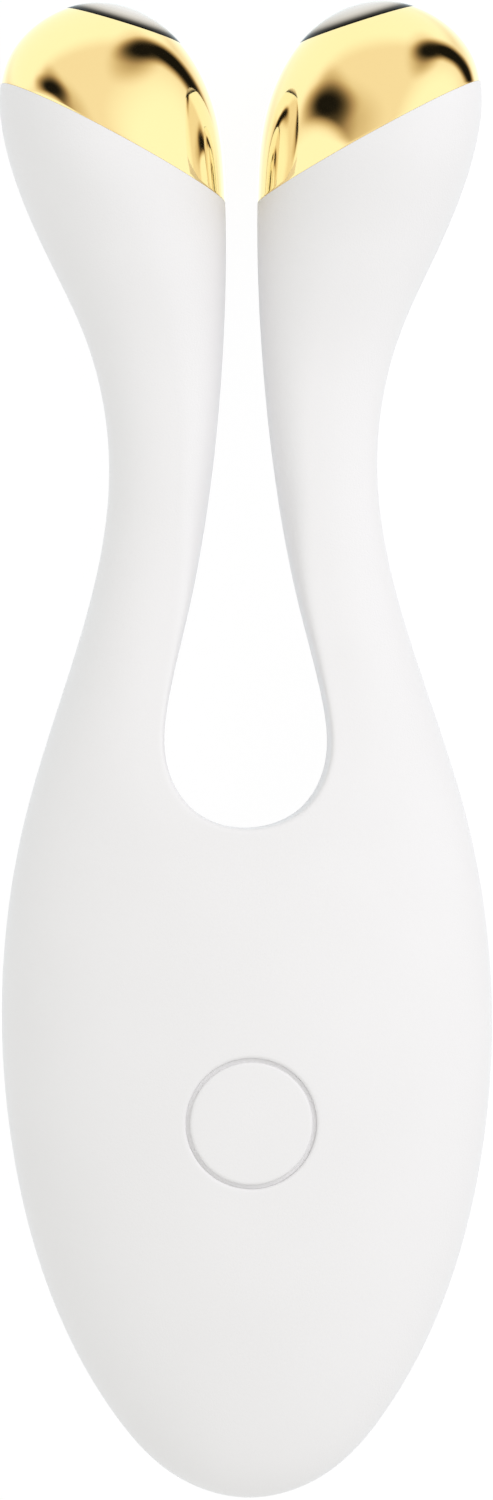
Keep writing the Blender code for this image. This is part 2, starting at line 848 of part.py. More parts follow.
def head_carrier(plastic):
    """The core of a head: a cup with a collar in the arm and a floor under the lens."""
    collar = SKIRT_END - SEAT * 2 - HEAD_SEAL_LENGTH
    foot = collar - CARRIER_FOOT
    neck = SKIRT_IN + SKIRT_WALL + SEAT
    shoulder = GOLD_RUN + SEAM_GAP / 2 + SKIRT_SHOULDER
    top = CARRIER_TOP_RUN
    head = CAP_WALL + CARRIER_SIDE_GAP
    outer = [(foot, SKIRT_IN), (collar, SKIRT_IN), (collar, neck), (shoulder, neck)]
    outer += [(top, max(head, neck))]
    inside = neck + CARRIER_WALL
    inner = [(top - CARRIER_FLOOR, inside), (shoulder, inside), (collar, inside), (foot, inside)]
    bm = loops_mesh(
        [full_loop(arm_section(s), i) for s, i in outer], True, (False, True), False
    )
    cup = loops_mesh([full_loop(arm_section(s), i) for s, i in inner], True, (True, False), False)
    edges = [full_loop(arm_section(foot), inset) for inset in (SKIRT_IN, inside)]
    rim = loops_mesh(edges, True, (False, False), False)
    return pair("head_carrier", joined([bm, cup, rim]), plastic)


def cap_contact(gold):
    """A curved spring leaf between the carrier and the cap, on the front side."""
    low = GOLD_RUN + SEAM_GAP / 2 + SKIRT_SHOULDER + SEAT * 2
    high = low + CONTACT_LENGTH
    outer, inner = CAP_WALL + SEAT, SKIRT_IN + SKIRT_WALL
    loops = []
    for t in range(5):
        angle = math.pi / 2 + CONTACT_HALF_ANGLE * (t / 2 - 1)
        loop = []
        for s, inset in ((low, outer), (high, outer), (high, inner), (low, inner)):
            loop.append(placed(*arm_section(s)(angle, inset, 1)))
        loops.append(loop)
    return pair("cap_contact", loops_mesh(loops, True), gold, False)


def head_frame(s):
    """A frame at the middle of a section: X along its chord, Z out of the head."""
    outer, inner = chord_ends(s)
    across = Vector((*(outer - inner), 0.0)).normalized()
    out = Vector((-across.y, across.x, 0.0))
    side = out.cross(across)
    middle = (outer + inner) / 2
    turn = Matrix((across, side, out)).transposed().to_4x4()
    return Matrix.Translation(placed(middle[0], middle[1], 0.0)) @ turn


def led_boards(board, lamp):
    frame = head_frame(CARRIER_TOP_RUN)
    low, high = LED_SEAT, LED_SEAT + LED_BOARD_THICK
    disc = turned([(0.0, low), (LED_BOARD_RADIUS, low), (LED_BOARD_RADIUS, high), (0.0, high)])
    pair("led_board", placed_mesh(drop_thin(disc), frame), board)
    seat = high + SEAT
    half = LED_SIDE / 2
    chip = box_mesh((-half, -half, seat), (half, half, seat + LED_HEIGHT))
    pair("led", placed_mesh(chip, frame), lamp, False)


# Housing details


BOARD_LOW = MID_Z + BOARD_TOP - BOARD_THICK
BOARD_HIGH = MID_Z + BOARD_TOP
BOARD_END = BOARD_END_SHARE * LENGTH - LENGTH / 2
BOARD_START = BOARD_END - BOARD_LENGTH
BUTTON_Y = BUTTON_SHARE * LENGTH - LENGTH / 2
MOTOR_Y = MOTOR_SHARE * LENGTH - LENGTH / 2
MOTOR_Z = MID_Z + MOTOR_HEIGHT
CHARGE_Y = CHARGE_SHARE * LENGTH - LENGTH / 2
CELL_END = BOARD_END - CELL_END_GAP
CELL_START = CELL_END - CELL_LENGTH
CELL_HIGH = BOARD_LOW - SEAT - PLUG_HEIGHT - PLUG_CLEAR
CELL_LOW = CELL_HIGH - CELL_THICK


def boss_places():
    ends = (BOARD_START + BOSS_LOW_END, BOARD_END - BOSS_HIGH_END)
    across = BOARD_HALF_WIDTH - BOSS_IN
    return [(x, y) for y in ends for x in (-across, across)]


def post_places():
    middle = (CELL_START + CELL_END) / 2
    return [(x, middle + y) for y in (-POST_ALONG, POST_ALONG) for x in (-POST_ACROSS, POST_ACROSS)]


def wall_middle(x, y, side, spread):
    """A height inside the cover's wall all over a small round shape that stands there."""
    spots = [(x + spread * dx, y + LENGTH / 2 + spread * dy) for dx in (-1, 0, 1) for dy in (-1, 0, 1)]
    heights = [body_surface(px, py, WALL / 3, side) for px, py in spots]
    return min(heights) if side > 0 else max(max(heights), WALL / 4)


def boss_top(x, y):
    return wall_middle(x, y, 1, BOSS_RADIUS)


SCREW_TIP = min(boss_top(x, y) for x, y in boss_places()) - BOSS_ROOF - SCREW_CLEAR


def screw_bosses():
    parts = []
    for x, y in boss_places():
        low = BOARD_HIGH + SEAT
        high = boss_top(x, y)
        bore = SCREW_RADIUS + SCREW_CLEAR
        deep = SCREW_TIP + SCREW_CLEAR
        profile = [(0.0, deep), (bore, deep), (bore, low), (BOSS_RADIUS, low)]
        profile += [(BOSS_RADIUS, high), (0.0, high)]
        boss = drop_thin(turned(profile, 16))
        parts.append(placed_mesh(boss, Matrix.Translation((x, y, 0))))
    return joined(parts)


def front_cover(skin):
    cover = finish("front_cover", cover_shell(1), skin)
    bosses = as_guide(finish("front_bosses", screw_bosses(), skin))
    boolean(cover, bosses, "UNION")
    hole = drop_thin(
        turned(
            [
                (0.0, MID_Z + BOARD_TOP),
                (BUTTON_RADIUS + BUTTON_GROOVE, MID_Z + BOARD_TOP),
                (BUTTON_RADIUS + BUTTON_GROOVE, MID_Z + FRONT_DEPTH + OVERRUN),
                (0.0, MID_Z + FRONT_DEPTH + OVERRUN),
            ],
            32,
        )
    )
    placed_mesh(hole, Matrix.Translation((0, BUTTON_Y, 0)))
    boolean(cover, as_guide(finish("button_hole", hole, skin)), "DIFFERENCE")
    return cover


def battery_posts():
    parts = []
    high = CELL_LOW - SEAT * 2 - CELL_PAD
    for x, y in post_places():
        low = wall_middle(x, y, -1, POST_RADIUS)
        post = drop_thin(turned([(0.0, low), (POST_RADIUS, low), (POST_RADIUS, high), (0.0, high)], 12))
        parts.append(placed_mesh(post, Matrix.Translation((x, y, 0))))
    return parts


def cradle_middles():
    middle = -MOTOR_LEFT + MOTOR_LENGTH / 2
    return [middle - CRADLE_SPREAD, middle + CRADLE_SPREAD]


def cradle_ribs():
    """Two ribs with a round notch that the motor's sleeve lies in."""
    parts = []
    notch = MOTOR_RADIUS + SLEEVE_WALL + SEAT * 2
    for x in cradle_middles():
        low = wall_middle(x, MOTOR_Y, -1, CRADLE_RIB / 2)
        outline = [(-CRADLE_HALF, low), (CRADLE_HALF, low)]
        start = math.asin(CRADLE_HALF / notch)
        for k in range(9):
            angle = start - 2 * start * k / 8
            outline.append((notch * math.sin(angle), MOTOR_Z - notch * math.cos(angle)))
        loops = [
            [(x + dx, MOTOR_Y + y, z) for y, z in outline] for dx in (-CRADLE_RIB / 2, CRADLE_RIB / 2)
        ]
        parts.append(loops_mesh(loops, True))
    return parts


def rear_cover(skin):
    cover = finish("rear_cover", flat_pad(cover_shell(-1)), skin)
    inside = joined(battery_posts() + cradle_ribs())
    boolean(cover, as_guide(finish("rear_ribs", inside, skin)), "UNION")
    holes = []
    for x in (-CHARGE_SPACING / 2, CHARGE_SPACING / 2):
        radius = CONTACT_HEAD_RADIUS + SEAT
        high = MID_Z - REAR_DEPTH + WALL + OVERRUN / 4
        hole = drop_thin(turned([(0.0, -OVERRUN), (radius, -OVERRUN), (radius, high), (0.0, high)], 20))
        holes.append(placed_mesh(hole, Matrix.Translation((x, CHARGE_Y, 0))))
    boolean(cover, as_guide(finish("contact_holes", joined(holes), skin)), "DIFFERENCE")
    return cover


def seal_loop(section, angle):
    """The seal's square section, in the rebate of both covers."""
    half = PARTING_GAP / 2 + RIM_STEP - SEAT
    near, far = RIM_LIP + SEAT / 2, RIM_LIP + SEAT / 2 + SEAL_WIDTH
    corners = []
    for inset, rise in ((near, -half), (near, half), (far, half), (far, -half)):
        x, y, _ = section(angle, inset, 1)
        corners.append(placed(x, y, rise))
    return corners


def seals(rubber):
    arm = [arm_section(s) for s in arm_runs(GOLD_RUN - SEAM_GAP / 2)]
    outer = [seal_loop(body_section(s), 0.0) for s in body_runs(BODY_STEPS)[:-1]]
    outer += [seal_loop(section, 0.0) for section in arm]
    bm = mirrored(loops_mesh(outer, True, (False, True)))
    finish("outer_seal", bm, rubber, False)
    inner = [seal_loop(section, math.pi) for section in arm]
    bm = mirrored(loops_mesh(inner, True, (False, True)))
    finish("slot_seal", bm, rubber, False)


# Button and switch


SWITCH_LOW = BOARD_HIGH + SEAT
SWITCH_HIGH = SWITCH_LOW + SWITCH_HEIGHT
PLUNGER_TOP = SWITCH_HIGH + PLUNGER_RISE
FLANGE_RADIUS = BUTTON_RADIUS + BUTTON_GROOVE + FLANGE_REACH
FLANGE_TOP = body_surface(FLANGE_RADIUS, BUTTON_Y + LENGTH / 2 - FLANGE_RADIUS, WALL, 1) - FLANGE_CLEAR


def power_button(skin):
    """A round key that follows the front face, with a rounded edge, a flange and a stem."""
    steps = 32

    def loop(radius, height):
        made = []
        for k in range(steps):
            x = radius * math.cos(math.tau * k / steps)
            y = radius * math.sin(math.tau * k / steps)
            if height is None:
                z = body_surface(x, BUTTON_Y + y + LENGTH / 2, 0.0, 1)
                z -= max(radius - (BUTTON_RADIUS - BUTTON_EDGE), 0.0)
            else:
                z = height
            made.append((x, BUTTON_Y + y, z))
        return made

    loops = [loop(BUTTON_RADIUS * share, None) for share in CROWN_SHARES]
    loops.append(loop(BUTTON_RADIUS - BUTTON_EDGE, None))
    shoulder = loop(BUTTON_RADIUS - BUTTON_EDGE * SHOULDER_SHARE, None)
    loops.append([(x, y, z + BUTTON_EDGE * SHOULDER_SHARE) for x, y, z in shoulder])
    loops.append(loop(BUTTON_RADIUS, None))
    loops += [
        loop(BUTTON_RADIUS, FLANGE_TOP),
        loop(FLANGE_RADIUS, FLANGE_TOP),
        loop(FLANGE_RADIUS, FLANGE_TOP - FLANGE_THICK),
        loop(STEM_RADIUS, FLANGE_TOP - FLANGE_THICK),
        loop(STEM_RADIUS, PLUNGER_TOP + SEAT),
        loop(0.0, PLUNGER_TOP + SEAT),
    ]
    made = finish("power_button", drop_thin(loops_mesh(loops, True)), skin)
    return moved_origin(made, (0, BUTTON_Y, FLANGE_TOP))


def tact_switch(black, steel):
    half = SWITCH_SIDE / 2
    body = box_mesh((-half, -half, SWITCH_LOW), (half, half, SWITCH_HIGH))
    placed_mesh(body, Matrix.Translation((0, BUTTON_Y, 0)))
    switch = finish("switch_body", body, black, False)
    low = SWITCH_HIGH - PLUNGER_SUNK - BUTTON_TRAVEL - SWITCH_BORE_GAP
    radius = PLUNGER_RADIUS + SWITCH_BORE_GAP
    high = SWITCH_HIGH + OVERRUN
    bore = drop_thin(turned([(0.0, low), (radius, low), (radius, high), (0.0, high)], 20))
    placed_mesh(bore, Matrix.Translation((0, BUTTON_Y, 0)))
    boolean(switch, as_guide(finish("plunger_bore", bore, black)), "DIFFERENCE")
    low = SWITCH_HIGH - PLUNGER_SUNK
    shape = [(0.0, low), (PLUNGER_RADIUS, low), (PLUNGER_RADIUS, PLUNGER_TOP), (0.0, PLUNGER_TOP)]
    plunger = placed_mesh(drop_thin(turned(shape, 20)), Matrix.Translation((0, BUTTON_Y, 0)))
    moved_origin(finish("switch_plunger", plunger, steel), (0, BUTTON_Y, low))


# Electronics


def board_outline():
    """The board's outline: a rectangle with cut corners that follows the cavity."""
    wide, cut = BOARD_HALF_WIDTH, BOARD_CORNER
    right = [
        (wide - cut, BOARD_START),
        (wide, BOARD_START + cut),
        (wide, BOARD_END - cut),
        (wide - cut, BOARD_END),
    ]
    return right + [(-x, y) for x, y in reversed(right)]


def main_board(green):
    outline = board_outline()
    loops = [[(x, y, z) for x, y in outline] for z in (BOARD_LOW, BOARD_HIGH)]
    board = finish("main_board", loops_mesh(loops, True), green, False)
    holes = []
    for x, y in boss_places():
        radius = SCREW_RADIUS + SCREW_CLEAR
        low, high = BOARD_LOW - OVERRUN, BOARD_HIGH + OVERRUN
        hole = drop_thin(turned([(0.0, low), (radius, low), (radius, high), (0.0, high)], 16))
        holes.append(placed_mesh(hole, Matrix.Translation((x, y, 0))))
    boolean(board, as_guide(finish("board_holes", joined(holes), green)), "DIFFERENCE")


def board_screws(steel):
    for number, (x, y) in enumerate(boss_places(), 1):
        under = BOARD_LOW - SEAT
        head = under - SCREW_HEAD
        shape = [
            (0.0, head),
            (SCREW_HEAD_RADIUS, head),
            (SCREW_HEAD_RADIUS, under),
            (SCREW_RADIUS, under),
            (SCREW_RADIUS, SCREW_TIP),
            (0.0, SCREW_TIP),
        ]
        bm = placed_mesh(drop_thin(turned(shape, 12)), Matrix.Translation((x, y, 0)))
        finish(f"board_screw_{number}", bm, steel)


PLUG_X = BOARD_HALF_WIDTH - BOSS_IN - SCREW_HEAD_RADIUS - FLEX_CLEAR - PLUG_WIDTH / 2
PLUG_Y = BOARD_END - BOARD_CORNER - PLUG_LENGTH / 2


def board_parts(black, copper, cream):
    """What stands on the board: chip, coil, transformer and the battery's plug."""
    top = BOARD_HIGH + SEAT
    half = CHIP_SIDE / 2
    chip_y = BUTTON_Y - SWITCH_SIDE
    chip = box_mesh((-half, chip_y - CHIP_SIDE, top), (half, chip_y, top + CHIP_HEIGHT))
    finish("microcontroller", chip, black, False)
    end = top + INDUCTOR_HEIGHT
    shape = [(0.0, top), (INDUCTOR_RADIUS, top), (INDUCTOR_RADIUS, end), (0.0, end)]
    coil = drop_thin(turned(shape, 16))
    coil_x = BOARD_HALF_WIDTH / 2 + INDUCTOR_RADIUS / 2
    finish("boost_inductor", placed_mesh(coil, Matrix.Translation((coil_x, BUTTON_Y, 0))), black)
    half = TRANSFORMER_SIDE / 2
    low_y = BUTTON_Y + FLANGE_RADIUS + TRANSFORMER_CLEAR
    block = box_mesh((-half, low_y, top), (half, low_y + TRANSFORMER_SIDE, top + TRANSFORMER_HEIGHT))
    finish("output_transformer", block, copper, False)
    high = BOARD_LOW - SEAT
    plug = box_mesh(
        (PLUG_X - PLUG_WIDTH / 2, PLUG_Y - PLUG_LENGTH / 2, high - PLUG_HEIGHT),
        (PLUG_X + PLUG_WIDTH / 2, PLUG_Y + PLUG_LENGTH / 2, high),
    )
    finish("battery_plug", plug, cream, False)


def battery(foil, foam):
    cell = box_mesh(
        (-CELL_HALF_WIDTH, CELL_START, CELL_LOW), (CELL_HALF_WIDTH, CELL_END, CELL_HIGH), CELL_EDGE
    )
    finish("battery", cell, foil)
    wide = CELL_HALF_WIDTH - CELL_PAD_INSET
    pad = box_mesh(
        (-wide, CELL_START + CELL_PAD_INSET, CELL_LOW - SEAT - CELL_PAD),
        (wide, CELL_END - CELL_PAD_INSET, CELL_LOW - SEAT),
    )
    finish("battery_pad", pad, foam, False)


BASE_START = CHARGE_Y + LENGTH / 2 - CHARGE_BASE_HALF_LENGTH
BASE_LOW = body_surface(CHARGE_BASE_HALF_WIDTH, BASE_START, WALL, -1) + SEAT
BASE_HIGH = BASE_LOW + CHARGE_BASE_THICK


def charging(black, gold, steel, amber):
    """Magnetic charging: a base on the rear wall with two contacts, two magnets and a flex."""
    wide, long = CHARGE_BASE_HALF_WIDTH, CHARGE_BASE_HALF_LENGTH
    base = box_mesh((-wide, CHARGE_Y - long, BASE_LOW), (wide, CHARGE_Y + long, BASE_HIGH))
    block = finish("charge_base", base, black, False)
    holes = []
    for x in (-CHARGE_SPACING / 2, CHARGE_SPACING / 2):
        radius = CONTACT_PIN_RADIUS + SEAT
        low, high = BASE_LOW - OVERRUN, BASE_HIGH + OVERRUN
        shape = [(0.0, low), (radius, low), (radius, high), (0.0, high)]
        holes.append(placed_mesh(drop_thin(turned(shape, 16)), Matrix.Translation((x, CHARGE_Y, 0))))
    for y in (-MAGNET_ALONG, MAGNET_ALONG):
        radius = MAGNET_RADIUS + SEAT
        low, high = BASE_HIGH - MAGNET_HEIGHT - SEAT, BASE_HIGH + OVERRUN
        shape = [(0.0, low), (radius, low), (radius, high), (0.0, high)]
        holes.append(placed_mesh(drop_thin(turned(shape, 16)), Matrix.Translation((0, CHARGE_Y + y, 0))))
    boolean(block, as_guide(finish("base_holes", joined(holes), black)), "DIFFERENCE")
    for name, x in (("left", -CHARGE_SPACING / 2), ("right", CHARGE_SPACING / 2)):
        shape = [
            (0.0, CONTACT_SUNK),
            (CONTACT_HEAD_RADIUS, CONTACT_SUNK),
            (CONTACT_HEAD_RADIUS, CONTACT_SUNK + CONTACT_HEAD),
            (CONTACT_PIN_RADIUS, CONTACT_SUNK + CONTACT_HEAD),
            (CONTACT_PIN_RADIUS, BASE_HIGH),
            (0.0, BASE_HIGH),
        ]
        bm = placed_mesh(drop_thin(turned(shape, 16)), Matrix.Translation((x, CHARGE_Y, 0)))
        finish(f"charge_contact_{name}", bm, gold)
    for number, y in ((1, -MAGNET_ALONG), (2, MAGNET_ALONG)):
        low = BASE_HIGH - MAGNET_HEIGHT
        shape = [(0.0, low), (MAGNET_RADIUS, low), (MAGNET_RADIUS, BASE_HIGH), (0.0, BASE_HIGH)]
        bm = placed_mesh(drop_thin(turned(shape, 16)), Matrix.Translation((0, CHARGE_Y + y, 0)))
        finish(f"charge_magnet_{number}", bm, steel)
    charge_flex(amber)


def charge_flex(amber):
    """A flat flexible strip from the contacts round the battery to the board's edge."""
    low = BASE_HIGH + SEAT
    side = CELL_HALF_WIDTH + FLEX_CLEAR
    start = -CHARGE_SPACING / 2 - CONTACT_PIN_RADIUS
    end = BOARD_LOW - SEAT
    outer = [(start, low), (side - CELL_EDGE, low), (side + FLEX_THICK, CELL_LOW), (side + FLEX_THICK, end)]
    inner = [(side, end), (side, CELL_LOW + FLEX_THICK), (side - CELL_EDGE - FLEX_THICK, low + FLEX_THICK)]
    inner.append((start, low + FLEX_THICK))
    outline = outer + inner
    loops = [
        [(x, CHARGE_Y + dy, z) for x, z in outline] for dy in (-FLEX_WIDTH / 2, FLEX_WIDTH / 2)
    ]
    finish("charge_flex", loops_mesh(loops, True), amber, False)


# Motor


def along_x(bm, x):
    """Lay a turned shape down with its axis along X, on the motor's axis."""
    return placed_mesh(
        bm, Matrix.Translation((x, MOTOR_Y, MOTOR_Z)) @ Matrix.Rotation(math.pi / 2, 4, "Y")
    )


def motor(steel, rubber, brass):
    left = -MOTOR_LEFT
    right = left + MOTOR_LENGTH
    bore = SHAFT_RADIUS + SHAFT_BORE_GAP
    deep = MOTOR_LENGTH - SHAFT_SUNK - SHAFT_BORE_GAP
    can = [
        (0.0, 0.0),
        (MOTOR_RADIUS, 0.0),
        (MOTOR_RADIUS, MOTOR_LENGTH),
        (bore, MOTOR_LENGTH),
        (bore, deep),
        (0.0, deep),
    ]
    finish("motor_can", along_x(drop_thin(turned(can)), left), steel)
    inner = MOTOR_RADIUS + SEAT
    outer = inner + SLEEVE_WALL
    half = SLEEVE_LENGTH / 2
    sleeve = [(inner, -half), (outer, -half), (outer, half), (inner, half)]
    finish("motor_sleeve", along_x(turned_ring(sleeve), (left + right) / 2), rubber)
    low, high = -SHAFT_SUNK, SHAFT_REACH
    shaft = [(0.0, low), (SHAFT_RADIUS, low), (SHAFT_RADIUS, high), (0.0, high)]
    made = finish("motor_shaft", along_x(drop_thin(turned(shaft, 12)), right), steel)
    moved_origin(made, (right, MOTOR_Y, MOTOR_Z))
    start = right + WEIGHT_GAP
    loops = []
    hole = SHAFT_RADIUS + SHAFT_BORE_GAP
    for radius_of, x in ((False, 0), (True, 0), (True, WEIGHT_LENGTH), (False, WEIGHT_LENGTH)):
        loop = []
        for k in range(ROUND_STEPS):
            angle = math.tau * (k + 0.5) / ROUND_STEPS
            radius = hole
            if radius_of:
                radius = WEIGHT_RADIUS if angle < math.pi else WEIGHT_HUB
            loop.append((start + x, MOTOR_Y + radius * math.cos(angle), MOTOR_Z - radius * math.sin(angle)))
        loops.append(loop)
    weight = finish("eccentric_weight", loops_mesh(loops, True, ring=True), brass)
    moved_origin(weight, (start, MOTOR_Y, MOTOR_Z))


# Leads


def leads(red, black, white):
    battery_leads(red, black)
    motor_leads(red, black)
    head_leads(white)


def battery_leads(red, black):
    gap = SEAT + LEAD_RADIUS / 10
    for name, x, colour in (
        ("battery_lead_red", PLUG_X - PLUG_WIDTH / 4, red),
        ("battery_lead_black", PLUG_X + PLUG_WIDTH / 8, black),
    ):
        low = (CELL_LOW + CELL_HIGH) / 2
        high = BOARD_LOW - SEAT - PLUG_HEIGHT / 2
        face = PLUG_Y + PLUG_LENGTH / 2
        bend = BOARD_CORNER / 2
        out = max(CELL_END, face) + bend
        route = [
            (x, CELL_END + gap, low),
            (x, out, low + bend / 2),
            (x, out + bend / 4, (low + high) / 2),
            (x, out, high - bend / 2),
            (x, face + gap, high),
        ]
        tube(name, route, LEAD_RADIUS, colour)


def motor_leads(red, black):
    """Two leads from the motor's closed end to the underside of the board's edge."""
    x = -MOTOR_LEFT - SEAT * 2
    low = BOARD_LOW - SEAT - LEAD_RADIUS
    for name, dy, step, colour in (
        ("motor_lead_red", -MOTOR_RADIUS / 2, 0.0, red),
        ("motor_lead_black", MOTOR_RADIUS / 4, LEAD_RADIUS * 5, black),
    ):
        board_x = -MOTOR_LEFT / 2 - step
        route = [
            (x, MOTOR_Y + dy, MOTOR_Z),
            (x - LEAD_RADIUS * 2 - step, MOTOR_Y + dy - LEAD_RADIUS, MOTOR_Z),
            (x - step, BOARD_END + LEAD_RADIUS * 3, MOTOR_Z + LEAD_RADIUS),
            (board_x - LEAD_RADIUS * 4, BOARD_END, low - LEAD_RADIUS),
            (board_x, BOARD_END - LEAD_RADIUS * 2, low),
        ]
        tube(name, route, LEAD_RADIUS, colour)


def head_leads(white):
    """A lead from the board up each arm to the floor of the carrier's cup."""
    beside_boss = BOARD_HALF_WIDTH - BOSS_IN - BOSS_RADIUS - HEAD_LEAD_RADIUS * 2
    start = (beside_boss, BOARD_END - HEAD_LEAD_RADIUS)
    top = BOARD_HIGH + SEAT + HEAD_LEAD_RADIUS
    floor = CARRIER_TOP_RUN - CARRIER_FLOOR
    route = [
        (start[0], start[1], top),
        (BOARD_HALF_WIDTH, BOARD_END + BOARD_CORNER * 2, top),
    ]
    rise = top - MID_Z
    for share, fall in LEAD_FALL_SHARES:
        outer, inner = chord_ends(floor * share)
        middle = (outer + inner) / 2
        route.append(placed(middle[0], middle[1], rise * fall))
    outer, inner = chord_ends(floor)
    middle = (outer + inner) / 2
    gap = SEAT * 3
    route.append(placed(middle[0], middle[1] - gap, 0.0))
    for name, sign in (("right", 1), ("left", -1)):
        tube(f"head_lead_{name}", [(sign * x, y, z) for x, y, z in route], HEAD_LEAD_RADIUS, white)


def main():
    clear_scene()
    skin = material("white_silicone", (0.86, 0.85, 0.84), 0.55)
    gold = material("gold_plate", (0.93, 0.72, 0.32), 0.08, 1.0)
    lens = material("dark_lens", (0.25, 0.25, 0.26), 0.06)
    rubber = material("seal_rubber", (0.55, 0.55, 0.56), 0.7)
    plastic = material("core_plastic", (0.75, 0.75, 0.73), 0.5)
    black = material("black_plastic", (0.03, 0.03, 0.03), 0.45)
    green = material("circuit_board", (0.03, 0.22, 0.10), 0.4)
    steel = material("steel", (0.6, 0.6, 0.6), 0.3, 1.0)
    copper = material("copper_coil", (0.6, 0.3, 0.15), 0.4, 0.6)
    cream = material("plug_plastic", (0.85, 0.82, 0.72), 0.5)
    foil = material("cell_foil", (0.55, 0.56, 0.6), 0.35, 0.7)
    foam = material("foam", (0.1, 0.1, 0.1), 0.9)
    brass = material("brass", (0.7, 0.5, 0.2), 0.3, 1.0)
    amber = material("flex_film", (0.6, 0.3, 0.05), 0.4)
    lamp = material("led_resin", (0.9, 0.85, 0.6), 0.3)
    red = material("lead_red", (0.6, 0.03, 0.03), 0.5)
    lead_black = material("lead_black", (0.02, 0.02, 0.02), 0.5)
    lead_white = material("lead_white", (0.8, 0.8, 0.8), 0.5)
    front_cover(skin)
    rear_cover(skin)
    seals(rubber)
    gold_cap(gold)
    tip_lens(lens)
    lens_seal(rubber)
    head_seal(rubber)
    head_carrier(plastic)
    cap_contact(gold)
    led_boards(green, lamp)
    power_button(skin)
    tact_switch(black, steel)
    main_board(green)
    board_screws(steel)
    board_parts(black, copper, cream)
    battery(foil, foam)
    charging(black, gold, steel, amber)
    motor(steel, rubber, brass)
    leads(red, lead_black, lead_white)


main()
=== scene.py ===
"""The looks of a two-armed facial lifting device with gold heads, lying on its back.

Metres, in the frame of the solids: X across, Y from the handle's tip to the heads, Z up
through the front face. The outer pieces are made again here as fine, smooth surfaces.
"""

import json
import math

import bmesh
import bpy
import numpy as np
from mathutils import Matrix, Vector

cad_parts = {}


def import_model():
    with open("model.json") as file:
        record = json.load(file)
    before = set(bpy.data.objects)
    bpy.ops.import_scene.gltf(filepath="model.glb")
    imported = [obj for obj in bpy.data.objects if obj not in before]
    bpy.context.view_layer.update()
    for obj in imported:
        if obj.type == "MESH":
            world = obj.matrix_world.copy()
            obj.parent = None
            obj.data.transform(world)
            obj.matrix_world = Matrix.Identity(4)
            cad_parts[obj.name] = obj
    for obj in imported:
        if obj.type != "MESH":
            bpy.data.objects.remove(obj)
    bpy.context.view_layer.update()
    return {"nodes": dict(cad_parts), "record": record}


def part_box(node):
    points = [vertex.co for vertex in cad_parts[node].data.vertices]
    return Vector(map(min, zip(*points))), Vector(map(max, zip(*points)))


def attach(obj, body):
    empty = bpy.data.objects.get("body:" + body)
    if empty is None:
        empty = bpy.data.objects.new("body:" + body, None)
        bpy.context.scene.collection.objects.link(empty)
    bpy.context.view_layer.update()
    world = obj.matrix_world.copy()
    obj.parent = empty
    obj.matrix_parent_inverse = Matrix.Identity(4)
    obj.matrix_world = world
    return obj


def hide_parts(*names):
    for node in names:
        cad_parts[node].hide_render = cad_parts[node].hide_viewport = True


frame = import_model()

# The photograph, in its own pixels, and how the device lies in it
PHOTO_WIDTH, PHOTO_HEIGHT = 493, 1500
MM_PER_PIXEL = 0.10362
AXIS_X_PIXEL, AXIS_Y_PIXEL = 245.1, 749.5
ROLL = math.radians(0.39)
YAW = math.radians(1.6)
LENS = 300.0
SENSOR = 36.0

# The outer form. Its main sizes are those of the solids
LENGTH = 0.155
BODY_HALF_WIDTH = 0.0253
FRONT_DEPTH = 0.0145
REAR_DEPTH = 0.0115
REST_CUT = 0.0006
ROLL_IN = 0.0034
SECTION_POWER = 2.3
HEAD_POWER = 2.05
SEAM_LEAN = math.radians(3.0)
WALL = 0.0022
RIM_LIP = 0.0009
RIM_STEP = 0.0008
# Round the slot the face turns in more tightly than in the solids
SLOT_POWER = 20.0

# The outline of the right half, from the handle's tip round the head to the crotch:
# across as a share of BODY_HALF_WIDTH, along as a share of LENGTH. The points at the head's
# tip and just before it differ a little from the solids' outline
OUTLINE_SHARES = (
    (0.0, 0.0),
    (0.320, 0.0167),
    (0.549, 0.0555),
    (0.967, 0.2387),
    (0.900, 0.4567),
    (0.549, 0.6894),
    (0.6475, 0.7777),
    (0.758, 0.8178),
    (0.955, 0.898),
    (0.951, 0.9629),
    (0.8115, 0.9882),
    (0.562, 1.0),
    (0.365, 0.9896),
    (0.1107, 0.930),
    (0.0676, 0.874),
    (0.0922, 0.7389),
    (0.2295, 0.5931),
    (0.3197, 0.5316),
    (0.330, 0.4926),
    (0.222, 0.4602),
    (0.0, 0.4478),
)
HEAD_TIP_POINT = 11
WIDEST_SHARE = 0.335

# Half depth along the length, as shares of FRONT_DEPTH and REAR_DEPTH
FRONT_SHARES = (
    (0.335, 1.0),
    (0.45, 0.86),
    (0.56, 0.60),
    (0.66, 0.425),
    (0.74, 0.425),
    (0.83, 0.60),
    (0.90, 0.775),
    (1.0, 0.765),
)
REAR_SHARES = (
    (0.335, 1.0),
    (0.44, 0.985),
    (0.52, 0.88),
    (0.60, 0.68),
    (0.68, 0.525),
    (0.75, 0.535),
    (0.84, 0.78),
    (0.91, 0.945),
    (1.0, 0.95),
)

# Where a section of the arm meets the outer and the inner outline, along LENGTH;
# the third number is where its crest lies between the two. The dome's section meets the
# outer outline a little nearer the tip than in the solids
SECTION_SHARES = (
    (0.516, 0.506, 0.16),
    (0.581, 0.565, 0.26),
    (0.677, 0.668, 0.32),
    (0.774, 0.758, 0.40),
    (0.865, 0.819, 0.47),
    (0.9455, 0.8655, 0.56),
    (0.9962, 0.9718, 0.48),
)
GOLD_SECTION = 5
DOME_SECTION = 6

# Fine sizes of the finished surfaces
PARTING_LINE = 0.00012
CAP_SEAM = 0.00001
SOFT_EDGE = 0.00012
CAP_EDGE = 0.00003
CAP_WALL = 0.0010
LEDGE_DEPTH = 0.0018
DOME_WALL = 0.0012
# An inset deeper than any section, which closes a section on its crest
TO_CREST = 20 * DOME_WALL

